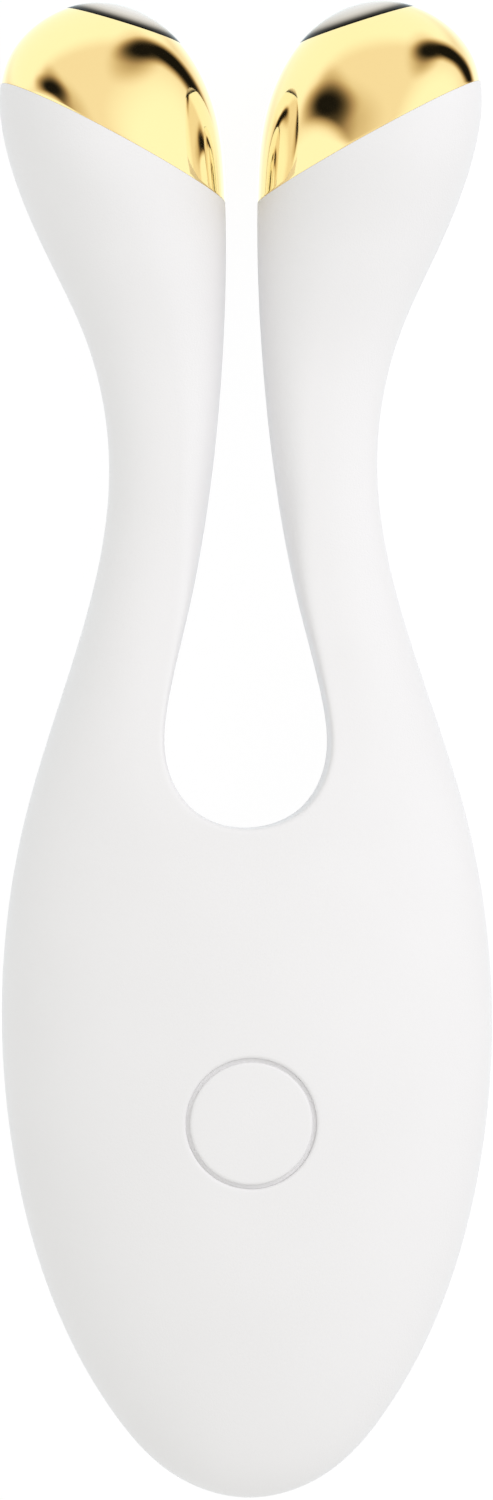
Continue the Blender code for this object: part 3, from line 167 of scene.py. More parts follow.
# The painted reflection on the domes, near black along their seam and pale grey towards the tip:
# how far from their seam it fades, and its value on the way
DOME_REFLECTION_FADE = 0.00155
DOME_REFLECTION_STOPS = (
    (0.0, 0.002),
    (0.13, 0.004),
    (0.26, 0.055),
    (0.36, 0.22),
    (0.47, 0.44),
    (0.57, 0.58),
    (0.68, 0.70),
    (1.0, 0.82),
)

# The button and its groove, which is finer here than in the solids
BUTTON_SHARE = 0.2525
BUTTON_RADIUS = 0.00630
KEY_EDGE = 0.00030
WELL_EDGE = 0.00040
WELL_MARGIN = 0.0003
GROOVE_WIDTH = 0.00040
GROOVE_DEPTH = 0.00062
BUTTON_SLIT = 0.000012
FLANGE_RADIUS = 0.0078
FLANGE_DROP = 0.0029
FLANGE_THICK = 0.0009
STEM_RADIUS = 0.0020
STEM_CLEARANCE = 0.0002

# The charging contacts' wells in the rear
CHARGE_SHARE = 0.303
CHARGE_SPACING = 0.0056
CONTACT_WELL_RADIUS = 0.0019
CONTACT_WELL_EDGE = 0.00025

# How finely the curves and surfaces are divided
SPAN_STEPS = 96
TABLE_STEPS = 600
FULLEST_TRIES = 200
BODY_ROWS = 90
BODY_EVEN, BODY_CROWDED = 0.45, 0.55
ROOT_ROWS = 60
ARM_ROWS = 130
ARC_POINTS = 40
ROLL_POINTS = 30
ROLL_SPACING = 2.6
LIP_STEPS = 4
INNER_POINTS = 10
CAP_ROWS = 54
CAP_INNER_ROWS = 12
CAP_EDGE_STEPS = 3
CAP_POINTS = 128
DOME_ROWS = 30
KEY_ROWS = 24
EDGE_STEPS = 5
ROUND_POINTS = 128
RIM_CUTS = 3
SHARP_ANGLE = math.radians(40)
# A short way along an outline, for its direction
NEARBY = ROLL_IN / 10
MERGE = 1e-7
NUMERIC_ZERO = 1e-9


# The outline and the depth


def smooth_curve(points, start, end, steps):
    """A cubic spline through the points, with its directions at both ends given."""
    knots = np.array(points, float)
    count = len(knots)
    spans = np.hypot(*np.diff(knots, axis=0).T)
    matrix = np.zeros((count, count))
    right = np.zeros((count, 2))
    matrix[0, 0] = matrix[-1, -1] = 1.0
    right[0], right[-1] = start, end
    for i in range(1, count - 1):
        before, after = spans[i - 1], spans[i]
        matrix[i, i - 1 : i + 2] = after, 2 * (before + after), before
        rise = after * (knots[i] - knots[i - 1]) / before
        rise = rise + before * (knots[i + 1] - knots[i]) / after
        right[i] = 3 * rise
    slopes = np.linalg.solve(matrix, right)
    pieces = []
    for i, span in enumerate(spans):
        t = np.linspace(0, 1, steps, endpoint=False)[:, None]
        pieces.append(
            (2 * t**3 - 3 * t**2 + 1) * knots[i]
            + (t**3 - 2 * t**2 + t) * span * slopes[i]
            + (3 * t**2 - 2 * t**3) * knots[i + 1]
            + (t**3 - t**2) * span * slopes[i + 1]
        )
    return np.concatenate(pieces + [knots[-1:]])


def lengths_along(curve):
    """The length along a curve at each of its points."""
    return np.concatenate([[0.0], np.cumsum(np.hypot(*np.diff(curve, axis=0).T))])


def table_value(table, x):
    """A smooth curve through a table's points that never overshoots them."""
    xs, ys = np.array(table, float).T
    gaps = np.diff(xs)
    rises = np.diff(ys) / gaps
    slopes = np.zeros(len(xs))
    for i in range(1, len(xs) - 1):
        if rises[i - 1] * rises[i] > 0:
            slopes[i] = 2 * rises[i - 1] * rises[i] / (rises[i - 1] + rises[i])
    x = min(max(x, xs[0]), xs[-1])
    i = min(int(np.searchsorted(xs, x, side="right")) - 1, len(gaps) - 1)
    t = (x - xs[i]) / gaps[i]
    return float(
        (2 * t**3 - 3 * t**2 + 1) * ys[i]
        + (t**3 - 2 * t**2 + t) * gaps[i] * slopes[i]
        + (3 * t**2 - 2 * t**3) * ys[i + 1]
        + (t**3 - t**2) * gaps[i] * slopes[i + 1]
    )


OUTLINE = smooth_curve(
    [(x * BODY_HALF_WIDTH, y * LENGTH) for x, y in OUTLINE_SHARES], (1, 0), (-1, 0), SPAN_STEPS
)
OUTLINE = OUTLINE * [1.0, LENGTH / OUTLINE[:, 1].max()]
TIP_INDEX = HEAD_TIP_POINT * SPAN_STEPS
OUTER, INNER = OUTLINE[: TIP_INDEX + 1], OUTLINE[TIP_INDEX:][::-1]
OUTER_RUN, INNER_RUN = lengths_along(OUTER), lengths_along(INNER)
CROTCH_Y = float(INNER[0, 1])
FORK_Y = CROTCH_Y - ROLL_IN
WIDEST_Y = WIDEST_SHARE * LENGTH
WIDEST_X = float(np.interp(WIDEST_Y, OUTER[:, 1], OUTER[:, 0]))
FORK_RUN = float(np.interp(FORK_Y, OUTER[:, 1], OUTER_RUN))
MID_Z = REAR_DEPTH - REST_CUT


def point_at(curve, run, s):
    """The point at a length s along a curve."""
    return np.array([np.interp(s, run, curve[:, 0]), np.interp(s, run, curve[:, 1])])


def half_width(y):
    """Half the body's width at a distance y from the handle's tip."""
    return float(np.interp(y, OUTER[:, 1], OUTER[:, 0]))


def tabled(table, low, high):
    """A table's smooth curve, read off once at many places."""
    xs = np.linspace(low, high, TABLE_STEPS)
    return xs, np.array([table_value(table, x) for x in xs])


DEPTHS = {1: tabled(FRONT_SHARES, WIDEST_SHARE, 1.0), -1: tabled(REAR_SHARES, WIDEST_SHARE, 1.0)}


def depth_at(y, side):
    """Half the depth of the form at y, towards the front (side 1) or the rear (side -1)."""
    depth = FRONT_DEPTH if side > 0 else REAR_DEPTH
    if y < WIDEST_Y:
        return depth * half_width(max(y, 0.0)) / WIDEST_X
    return depth * float(np.interp(y / LENGTH, *DEPTHS[side]))


def powered(value, power=SECTION_POWER):
    """A cosine or sine bent for a section that is fuller than an ellipse."""
    return abs(value) ** (2.0 / power)


def body_surface(x, y, inset, side):
    """Height of the body's face over a point, with inset measured in from the skin."""
    depth = depth_at(y, side) - inset
    across = min(abs(x) / (half_width(y) - inset), 1.0)
    return MID_Z + side * depth * (1 - across**SECTION_POWER) ** (1 / SECTION_POWER)


# Sections of the form


def arm_stations():
    """Length along the arm, and along both outlines, at each of SECTION_SHARES."""
    outer = [FORK_RUN]
    inner = [0.0]
    for out_share, in_share, _ in SECTION_SHARES:
        outer.append(float(np.interp(out_share * LENGTH, OUTER[:, 1], OUTER_RUN)))
        inner.append(float(np.interp(in_share * LENGTH, INNER[:, 1], INNER_RUN)))
    outer.append(float(OUTER_RUN[-1]))
    inner.append(float(INNER_RUN[-1]))
    runs = [0.0]
    for i in range(1, len(outer)):
        step = (outer[i] - outer[i - 1] + inner[i] - inner[i - 1]) / 2
        runs.append(runs[-1] + step)
    return runs, outer, inner


ARM_RUN, OUTER_AT, INNER_AT = arm_stations()
GOLD_RUN = ARM_RUN[GOLD_SECTION + 1]
DOME_RUN = ARM_RUN[DOME_SECTION + 1]
TIP_RUN = ARM_RUN[-1]
ROOT_RUN = ARM_RUN[1]
BEND_RUN = ARM_RUN[2]
CREST_TABLE = [(ARM_RUN[0], SECTION_SHARES[0][2])]
CREST_TABLE += [(run, row[2]) for run, row in zip(ARM_RUN[1:], SECTION_SHARES)]
CREST_TABLE += [(TIP_RUN, SECTION_SHARES[-1][2])]


def smooth_step(t):
    t = min(max(t, 0.0), 1.0)
    return t * t * (3 - 2 * t)


def chord_ends(s):
    """Where the arm's section at s meets the outer and the inner outline."""
    outer = point_at(OUTER, OUTER_RUN, table_value(list(zip(ARM_RUN, OUTER_AT)), s))
    inner = point_at(INNER, INNER_RUN, table_value(list(zip(ARM_RUN, INNER_AT)), s))
    return outer, inner


def half_chord(s):
    outer, inner = chord_ends(s)
    return float(np.hypot(*(outer - inner))) / 2


FULLEST_RUN = max(np.linspace(BEND_RUN, TIP_RUN, FULLEST_TRIES), key=half_chord)
FULLEST = half_chord(FULLEST_RUN)


def inner_normal(s):
    """Direction from the slot's edge into the arm, square to the edge."""
    run = table_value(list(zip(ARM_RUN, INNER_AT)), s)
    ahead = point_at(INNER, INNER_RUN, run + NEARBY)
    behind = point_at(INNER, INNER_RUN, max(run - NEARBY, 0.0))
    along = (ahead - behind) / np.hypot(*(ahead - behind))
    return np.array([along[1], -along[0]]) if run > 0 else np.array([0.0, -1.0])


def slot_distance(x, y):
    """Distance from a point to the slot's edge."""
    starts, steps = INNER[:-1], np.diff(INNER, axis=0)
    t = ((np.array([x, y]) - starts) * steps).sum(1) / (steps**2).sum(1)
    nearest = starts + steps * np.clip(t, 0.0, 1.0)[:, None]
    return float(np.hypot(x - nearest[:, 0], y - nearest[:, 1]).min())


def root_share(x, y, inset, roll_power):
    """Share of the full depth where the body runs into the arms round the slot's end."""
    across = min(abs(x) / (half_width(y) - inset), 1.0)
    body = (1 - across**SECTION_POWER) ** (1 / SECTION_POWER)
    into = (ROLL_IN - slot_distance(x, y)) / (ROLL_IN - inset)
    into = min(max(into, 0.0), 1.0)
    return body * (1 - into**roll_power) ** (1 / roll_power)


def arm_section(s):
    """The section of the right arm at s along it: a function of angle, inset and side."""
    outer, inner = chord_ends(s)
    near = inner + inner_normal(s) * ROLL_IN
    far = inner + (outer - inner) * table_value(CREST_TABLE, s)
    blend = smooth_step(s / BEND_RUN)
    crest = near + (far - near) * blend
    fullness = min(half_chord(s) / FULLEST, 1.0) if s > FULLEST_RUN else 1.0
    to_head = smooth_step((s - ARM_RUN[3]) / (GOLD_RUN - ARM_RUN[3]))
    power = SECTION_POWER + (HEAD_POWER - SECTION_POWER) * to_head
    # The face stays flat right up to the slot's end and rounds off more along the neck
    slot_power = power + (SLOT_POWER - SECTION_POWER) * (1 - smooth_step(s / ARM_RUN[3]))
    lean = math.tan(SEAM_LEAN) * to_head
    lean *= 1 - smooth_step((s - GOLD_RUN) / (TIP_RUN - GOLD_RUN))

    def point(angle, inset, side):
        end, bend = outer, power
        if math.cos(angle) < 0:
            end, bend = inner, slot_power if side > 0 else power
        reach = np.hypot(*(end - crest))
        end = crest + (end - crest) * max(reach - inset, 0.0) / max(reach, NUMERIC_ZERO)
        flat = crest + (end - crest) * powered(math.cos(angle), bend)
        depth = max(depth_at(flat[1], side) * fullness - inset, 0.0)
        share = powered(math.sin(angle), bend)
        if blend < 1.0:
            roll_power = slot_power if side > 0 else power
            share = share * blend + root_share(flat[0], flat[1], inset, roll_power) * (1 - blend)
        rise = side * depth * share
        return flat[0], flat[1] + lean * rise, rise

    return point


def body_section(s):
    """Half a section of the body, from its crest on the middle plane to the outer edge."""
    outer = point_at(OUTER, OUTER_RUN, s)
    ahead = point_at(OUTER, OUTER_RUN, s + NEARBY)
    along = ahead - point_at(OUTER, OUTER_RUN, max(s - NEARBY, 0.0))
    normal = np.array([along[1], -along[0]]) / np.hypot(*along)
    if s <= 0:
        normal = np.array([0.0, -1.0])

    def point(angle, inset, side):
        edge = outer - normal * inset if normal[1] < 0 else outer - np.array([inset, 0.0])
        edge[0] = max(edge[0], 0.0)
        depth = FRONT_DEPTH if side > 0 else REAR_DEPTH
        if outer[1] < WIDEST_Y:
            half = (depth - inset) * edge[0] / (WIDEST_X - inset)
        else:
            half = depth_at(edge[1], side) - inset
        return edge[0] * powered(math.cos(angle)), edge[1], side * half * powered(math.sin(angle))

    return point


def placed(x, y, rise):
    """A point of the form in the frame, kept above the flat that the device rests on."""
    return (x, y - LENGTH / 2, max(MID_Z + rise, 0.0))


# Mesh helpers


def formed_sheet(bm, rows):
    """A grid of faces whose points are moved onto the form, row by row."""
    made = bmesh.ops.create_grid(
        bm, x_segments=len(rows[0]) - 1, y_segments=len(rows) - 1, size=1.0
    )
    for vert, point in zip(made["verts"], [point for row in rows for point in row]):
        vert.co = point
    return made["verts"]


def close_up(bm):
    """Merge the seams and poles of the sheets and turn the faces outwards."""
    bmesh.ops.remove_doubles(bm, verts=bm.verts, dist=MERGE)
    bmesh.ops.dissolve_degenerate(bm, dist=MERGE / 10, edges=bm.edges)
    bmesh.ops.recalc_face_normals(bm, faces=bm.faces)


def mirrored(bm):
    """Add the left half of a mesh whose open edges lie on the middle plane."""
    bmesh.ops.mirror(
        bm, geom=bm.verts[:] + bm.edges[:] + bm.faces[:], axis="X", merge_dist=MERGE
    )


def finish_piece(name, bm, material, body, slot, *nodes):
    """Put a closed mesh into the scene as a piece that rides on a body."""
    mesh = bpy.data.meshes.new(name)
    bm.to_mesh(mesh)
    bm.free()
    mesh.shade_smooth()
    mesh.set_sharp_from_angle(angle=SHARP_ANGLE)
    piece = bpy.data.objects.new(name, mesh)
    bpy.context.scene.collection.objects.link(piece)
    mesh.materials.append(material)
    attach(piece, body)
    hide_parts(*nodes)


def left_copy(bm):
    """The mirror image of a piece of the right head."""
    twin = bm.copy()
    bmesh.ops.scale(twin, vec=(-1, 1, 1), verts=twin.verts)
    bmesh.ops.reverse_faces(twin, faces=twin.faces)
    return twin


def spread(start, end, count):
    """Even steps from start to end, both included."""
    return [start + (end - start) * i / count for i in range(count + 1)]


def quarter(radius, count):
    """(in, down) steps of a rounded edge."""
    steps = []
    for k in range(1, count + 1):
        angle = math.pi / 2 * k / count
        steps.append((radius * (1 - math.cos(angle)), radius * (1 - math.sin(angle))))
    return steps


# The covers


def skin_loop(section, side, whole):
    """One section of a cover: skin, rounded lip and stepped rim at each edge, inner wall."""
    rim = side * PARTING_LINE / 2
    step = rim + side * RIM_STEP

    def at(angle, inset, least):
        x, y, rise = section(angle, inset, side)
        return placed(x, y, side * max(side * rise, side * least))

    def edge(angle):
        rounded = []
        for inset, up in quarter(SOFT_EDGE, LIP_STEPS):
            x, y, _ = section(angle, inset, side)
            rounded.append(placed(x, y, rim + side * up))
        return rounded

    def corner(angle, inset, rise):
        x, y, _ = section(angle, inset, side)
        return placed(x, y, rise)

    shoulder = rim + side * SOFT_EDGE
    outer = [at(a, 0.0, shoulder) for a in reversed(spread(0.0, math.pi / 2, ARC_POINTS))]
    lip = edge(0.0) + [corner(0.0, RIM_LIP, rim), corner(0.0, RIM_LIP, step)]
    inner = [at(a, WALL, step) for a in spread(0.0, math.pi / 2, INNER_POINTS)]
    if not whole:
        return outer + lip + inner
    roll = [math.pi / 2 * (1 + t**ROLL_SPACING) for t in spread(1.0, 0.0, ROLL_POINTS)[:-1]]
    before = [at(a, 0.0, shoulder) for a in roll]
    after = [at(a, WALL, step) for a in spread(math.pi / 2, math.pi, INNER_POINTS)[1:]]
    end = [corner(math.pi, RIM_LIP, step), corner(math.pi, RIM_LIP, rim)]
    end += list(reversed(edge(math.pi)))
    return before + outer + lip + inner + after + end + before[:1]


def cover_rows(side):
    """The sections of the handle's half and of the arm, with a shared one at the fork."""
    shares = spread(0.0, 1.0, BODY_ROWS)
    body = [FORK_RUN * (BODY_EVEN * t + BODY_CROWDED * t * t) for t in shares]
    root = spread(0.0, ROOT_RUN, ROOT_ROWS)[:-1]
    arm = spread(ROOT_RUN, GOLD_RUN - CAP_SEAM / 2, ARM_ROWS)
    body_rows = [skin_loop(body_section(s), side, False) for s in body]
    arm_rows = [skin_loop(arm_section(s), side, True) for s in root + arm]
    body_rows[-1] = arm_rows[0][ROLL_POINTS : ROLL_POINTS + len(body_rows[0])]
    return body_rows, arm_rows


def cover_sheet(side):
    """A whole cover with its wall, closed at the ends of the arms."""
    bm = bmesh.new()
    body_rows, arm_rows = cover_rows(side)
    formed_sheet(bm, body_rows)
    formed_sheet(bm, arm_rows)
    close_up(bm)
    mirrored(bm)
    close_up(bm)
    arm_ends = [e for e in bm.edges if e.is_boundary]
    bmesh.ops.holes_fill(bm, edges=arm_ends, sides=0)
    return bm


def off_centre(place, centre):
    """How far a place is from a centre, seen from above."""
    return math.hypot(place.x - centre[0], place.y - centre[1])


def put_on_ring(verts, centre, radius, height):
    """Move points straight out from a centre to a radius, and to a height given by place."""
    for vert in verts:
        turn = math.atan2(vert.co.y - centre[1], vert.co.x - centre[0])
        vert.co.x = centre[0] + radius * math.cos(turn)
        vert.co.y = centre[1] + radius * math.sin(turn)
        vert.co.z = height(vert.co.x, vert.co.y)


def round_rim(bm, opening, centre, radius, height, aside):
    """Even edges round a centre, joined to an opening's edges; the new loop stands aside
    while it is joined, so that both loops are seen to run the same way round."""
    made = bmesh.ops.create_circle(
        bm, radius=radius, segments=ROUND_POINTS, matrix=Matrix.Translation((*centre, 0.0))
    )
    ring = set(made["verts"])
    put_on_ring(ring, centre, radius, lambda x, y: height(x, y) + aside)
    rim = [e for e in bm.edges if ring.issuperset(e.verts)]
    bmesh.ops.bridge_loops(bm, edges=opening + rim)
    put_on_ring(ring, centre, radius, height)
    return rim


def open_well(bm, centre, radius, edge, side, height):
    """A round well through a cover's wall, with a rounded mouth; height gives a skin's height."""
    reach = radius + edge + WELL_MARGIN
    inside = [f for f in bm.faces if off_centre(f.calc_center_median(), centre) < reach]
    bmesh.ops.delete(bm, geom=inside, context="FACES")
    coarse = [e for e in bm.edges if e.is_boundary and e.calc_length() > reach / 2]
    bmesh.ops.subdivide_edges(bm, edges=coarse, cuts=RIM_CUTS)
    rims = [e for e in bm.edges if e.is_boundary]
    middle = MID_Z + side * (depth_at(centre[1] + LENGTH / 2, side) - WALL / 2)
    outer = [e for e in rims if side * (e.verts[0].co.z - middle) > 0]
    inner = [e for e in rims if side * (e.verts[0].co.z - middle) <= 0]
    for edges, inset in ((outer, 0.0), (inner, WALL)):
        verts = {v for e in edges for v in e.verts}
        put_on_ring(verts, centre, reach, lambda x, y, inset=inset: height(x, y, inset))
    loop = round_rim(
        bm, outer, centre, radius + edge, lambda x, y: height(x, y, 0.0), side * WALL
    )
    foot = round_rim(bm, inner, centre, radius, lambda x, y: height(x, y, WALL), -side * WALL)
    for k in range(1, EDGE_STEPS + 1):
        angle = math.pi / 2 * k / EDGE_STEPS
        down = side * edge * (1 - math.cos(angle))
        ring = radius + edge * (1 - math.sin(angle))
        made = bmesh.ops.extrude_edge_only(bm, edges=loop)["geom"]
        verts = [part for part in made if isinstance(part, bmesh.types.BMVert)]
        put_on_ring(verts, centre, ring, lambda x, y, down=down: height(x, y, 0.0) - down)
        loop = [e for e in made if isinstance(e, bmesh.types.BMEdge) and e.is_boundary]
    bmesh.ops.bridge_loops(bm, edges=loop + foot)


def front_cover(skin):
    """The front cover, open round the button."""
    bm = cover_sheet(1)
    centre = (0.0, BUTTON_SHARE * LENGTH - LENGTH / 2)

    def height(x, y, inset):
        return body_surface(x, y + LENGTH / 2, inset, 1)

    radius = BUTTON_RADIUS + GROOVE_WIDTH + BUTTON_SLIT
    open_well(bm, centre, radius, WELL_EDGE, 1, height)
    close_up(bm)
    finish_piece("front_skin", bm, skin, "housing", "skin", "front_cover")


def rear_cover(skin):
    """The rear cover, open over the two charging contacts."""
    bm = cover_sheet(-1)
    y = CHARGE_SHARE * LENGTH - LENGTH / 2

    def height(x, y, inset):
        return max(body_surface(x, y + LENGTH / 2, inset, -1), 0.0)

    for x in (-CHARGE_SPACING / 2, CHARGE_SPACING / 2):
        centre = (x, y)
        open_well(bm, centre, CONTACT_WELL_RADIUS, CONTACT_WELL_EDGE, -1, height)
    close_up(bm)
    finish_piece("rear_skin", bm, skin, "housing", "skin", "rear_cover")


# The heads


def full_loop(section, inset):
    """A whole section of a head, all the way round, closed on its first point."""
    loop = []
    for k in range(CAP_POINTS + 1):
        angle = math.tau * (k % CAP_POINTS + 0.5) / CAP_POINTS
        side = 1 if angle < math.pi else -1
        x, y, rise = section(angle if side > 0 else math.tau - angle, inset, side)
        loop.append(placed(x, y, rise))
    return loop


def swept(profile):
    """A piece of a head: each (run, inset) of the profile becomes a whole section."""
    bm = bmesh.new()
    formed_sheet(bm, [full_loop(arm_section(s), inset) for s, inset in profile])
    close_up(bm)
    return bm


def pair(name, bm, material, slot, node):
    """The same piece on both heads; the right one is given."""
    twin = left_copy(bm)
    finish_piece(name + "_right", bm, material, "housing", slot, node + "_right")
    finish_piece(name + "_left", twin, material, "housing", slot, node + "_left")


def gold_caps(gold):
    """Thin shells between the white arms and the domes."""
    low = GOLD_RUN + CAP_SEAM / 2
    high = DOME_RUN - CAP_SEAM / 2
    profile = [(low + down, inset) for inset, down in reversed(quarter(CAP_EDGE, CAP_EDGE_STEPS))]
    profile += [(s, 0.0) for s in spread(low + CAP_EDGE, high - CAP_EDGE, CAP_ROWS)]
    profile += [(high - down, inset) for inset, down in quarter(CAP_EDGE, CAP_EDGE_STEPS)]
    profile += [(s, CAP_WALL) for s in reversed(spread(low, high, CAP_INNER_ROWS))]
    profile.append(profile[0])
    pair("cap_shell", swept(profile), gold, "gold_plate", "gold_cap")


def tip_domes(painted_dome):
    """The domes over the ends of the heads, each with a ledge inside its cap."""
    low = DOME_RUN + CAP_SEAM / 2
    span = TIP_RUN - low - CAP_EDGE
    profile = [(low - LEDGE_DEPTH / 2, TO_CREST), (low - LEDGE_DEPTH / 2, DOME_WALL)]
    profile += [(low + down, inset) for inset, down in reversed(quarter(CAP_EDGE, CAP_EDGE_STEPS))]
    turns = spread(0.0, math.pi / 2, DOME_ROWS)
    profile += [(low + CAP_EDGE + span * math.sin(turn), 0.0) for turn in turns]
    pair("tip_dome", swept(profile), painted_dome, "tip_lens", "tip_lens")


# The button


def button_key(skin):
    """The key follows the front face, has a ledge as the groove's floor, a flange and a stem."""
    centre_y = BUTTON_SHARE * LENGTH - LENGTH / 2
    top = body_surface(0.0, BUTTON_SHARE * LENGTH, 0.0, 1)
    flange = top - FLANGE_DROP
    stem_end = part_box("switch_plunger")[1].z + STEM_CLEARANCE

    def ring(radius, height):
        made = []
        for k in range(ROUND_POINTS + 1):
            turn = math.tau * (k % ROUND_POINTS) / ROUND_POINTS
            x, y = radius * math.cos(turn), radius * math.sin(turn)
            z = height
            if callable(height):
                z = height(x, centre_y + y)
            made.append((x, centre_y + y, z))
        return made

    def crown(down):
        return lambda x, y: body_surface(x, y + LENGTH / 2, 0.0, 1) - down

    flat = BUTTON_RADIUS - KEY_EDGE
    rows = [ring(radius, crown(0.0)) for radius in spread(0.0, flat, KEY_ROWS)]
    for k in range(1, EDGE_STEPS + 1):
        angle = math.pi / 2 * k / EDGE_STEPS
        down = KEY_EDGE * (1 - math.cos(angle))
        rows.append(ring(flat + KEY_EDGE * math.sin(angle), crown(down)))
    ledge = BUTTON_RADIUS + GROOVE_WIDTH
    rows += [
        ring(BUTTON_RADIUS, crown(GROOVE_DEPTH)),
        ring(ledge, crown(GROOVE_DEPTH)),
        ring(ledge, flange),
        ring(FLANGE_RADIUS, flange),
        ring(FLANGE_RADIUS, flange - FLANGE_THICK),
        ring(STEM_RADIUS, flange - FLANGE_THICK),
        ring(STEM_RADIUS, stem_end),
        ring(0.0, stem_end),
    ]
    bm = bmesh.new()
    formed_sheet(bm, rows)
    close_up(bm)
    finish_piece("button_key", bm, skin, "button", "skin", "power_button")


# Materials


# Of the outer finishes: dark and light colour, roughness from and to, grain and mottle scale
SILICONE_TONES = (0.852, 0.845, 0.850), (0.872, 0.865, 0.872)
SILICONE_ROUGHNESS = 0.48, 0.62
SILICONE_SCALES = 5200.0, 45.0
SILICONE_GLOSS = 0.35
SILICONE_GRAIN = 0.00002
GOLD_TONES = (0.93, 0.70, 0.315), (0.95, 0.73, 0.345)
GOLD_ROUGHNESS = 0.045, 0.065
# The gold's colour as seen in the other head: a painted reflection, paler than the gold
GOLD_PAINTED_REFLECTION = (0.98, 0.95, 0.85, 1.0)
MIRROR_SCALES = 900.0, 30.0
GLAZE_ROUGHNESS = 0.10, 0.14
GLAZE_IOR = 1.15
GLAZE_GLOSS = 0.3
GLAZE_TINT = (1.0, 0.70, 0.50, 1.0)
# Green and blue of the grey in the domes' painted reflection, as shares of its red at the seam,
# and what the tip adds
DOME_REFLECTION_GREEN = 0.90, 0.08
DOME_REFLECTION_BLUE = 0.72, 0.22
# Where the mottling reaches its darker and its lighter colour
MOTTLE_LOW, MOTTLE_HIGH = 0.3, 0.7


def new_material(name):
    """A material with its node tree and its main shader."""
    made = bpy.data.materials.new(name)
    made.use_nodes = True
    nodes = made.node_tree.nodes
    shader = nodes["Principled BSDF"]
    return made, made.node_tree, shader


def surface_group():
    """Fine grain and broad mottling, both from 0 to 1, on an object's own coordinates."""
    group = bpy.data.node_groups.new("surface_grain", "ShaderNodeTree")
    face = group.interface
    for name in ("Grain Scale", "Mottle Scale"):
        face.new_socket(name, in_out="INPUT", socket_type="NodeSocketFloat")
    for name in ("Grain", "Mottle"):
        face.new_socket(name, in_out="OUTPUT", socket_type="NodeSocketFloat")
    nodes, links = group.nodes, group.links
    given = nodes.new("NodeGroupInput")
    out = nodes.new("NodeGroupOutput")
    place = nodes.new("ShaderNodeTexCoord")
    for name, detail in (("Grain", 2.0), ("Mottle", 4.0)):
        noise = nodes.new("ShaderNodeTexNoise")
        noise.inputs["Detail"].default_value = detail
        links.new(place.outputs["Object"], noise.inputs["Vector"])
        links.new(given.outputs[name + " Scale"], noise.inputs["Scale"])
        links.new(noise.outputs["Fac"], out.inputs[name])
    return group


def grained(tree, group, grain_scale, mottle_scale):
    """The shared grain in a material, at its own scales."""
    node = tree.nodes.new("ShaderNodeGroup")
    node.node_tree = group
    node.inputs["Grain Scale"].default_value = grain_scale
    node.inputs["Mottle Scale"].default_value = mottle_scale
    return node


def blended(tree, factor, low, high):
    """A colour between two, by a factor over the surface."""
    ramp = tree.nodes.new("ShaderNodeValToRGB")
    ramp.color_ramp.elements[0].position = MOTTLE_LOW
    ramp.color_ramp.elements[1].position = MOTTLE_HIGH
    ramp.color_ramp.elements[0].color = (*low, 1.0)
    ramp.color_ramp.elements[1].color = (*high, 1.0)
    tree.links.new(factor, ramp.inputs["Fac"])
    return ramp.outputs["Color"]


def ranged(tree, factor, low, high):
    """A value between two, by a factor over the surface."""
    span = tree.nodes.new("ShaderNodeMapRange")
    span.inputs["To Min"].default_value = low
    span.inputs["To Max"].default_value = high
    tree.links.new(factor, span.inputs["Value"])
    return span.outputs["Result"]


def bumped(tree, shader, height, distance):
    bump = tree.nodes.new("ShaderNodeBump")
    bump.inputs["Distance"].default_value = distance
    bump.inputs["Strength"].default_value = 1.0
    tree.links.new(height, bump.inputs["Height"])
    tree.links.new(bump.outputs["Normal"], shader.inputs["Normal"])


def weighted_sum(tree, terms):
    """A sum of values, each times its weight."""
    total = None
    for value, weight in terms:
        part = tree.nodes.new("ShaderNodeMath")
        part.operation = "MULTIPLY_ADD"
        part.inputs[1].default_value = weight
        part.inputs[2].default_value = 0.0
        tree.links.new(value, part.inputs[0])
        if total is not None:
            tree.links.new(total, part.inputs[2])
        total = part.outputs["Value"]
    return total


def seam_line():
    """A point of the right dome's seam in the frame, and the seam's direction in plan."""
    outer, inner = chord_ends(DOME_RUN)
    along = (inner - outer) / np.hypot(*(inner - outer))
    return (float(outer[0]), float(outer[1]) - LENGTH / 2), (-float(along[0]), -float(along[1]))


def silicone(group):
    """Warm white, matt silicone over covers and button."""
    made, tree, shader = new_material("white_silicone")
    grain = grained(tree, group, *SILICONE_SCALES)
    colour = blended(tree, grain.outputs["Mottle"], *SILICONE_TONES)
    tree.links.new(colour, shader.inputs["Base Color"])
    rough = ranged(tree, grain.outputs["Grain"], *SILICONE_ROUGHNESS)
    tree.links.new(rough, shader.inputs["Roughness"])
    shader.inputs["Specular IOR Level"].default_value = SILICONE_GLOSS
    bumped(tree, shader, grain.outputs["Grain"], SILICONE_GRAIN)
    return made


def gold_plate(group):
    """Polished gold plating."""
    made, tree, shader = new_material("gold_plate")
    grain = grained(tree, group, *MIRROR_SCALES)
    colour = blended(tree, grain.outputs["Mottle"], *GOLD_TONES)
    # Painted reflection: where the heads mirror each other, the gold seen in the other head is
    # painted paler than the gold itself
    path = tree.nodes.new("ShaderNodeLightPath")
    paler = tree.nodes.new("ShaderNodeMix")
    paler.data_type = "RGBA"
    tree.links.new(path.outputs["Is Glossy Ray"], paler.inputs["Factor"])
    tree.links.new(colour, paler.inputs["A"])
    paler.inputs["B"].default_value = GOLD_PAINTED_REFLECTION
    tree.links.new(paler.outputs["Result"], shader.inputs["Base Color"])
    shader.inputs["Metallic"].default_value = 1.0
    rough = ranged(tree, grain.outputs["Grain"], *GOLD_ROUGHNESS)
    tree.links.new(rough, shader.inputs["Roughness"])
    return made


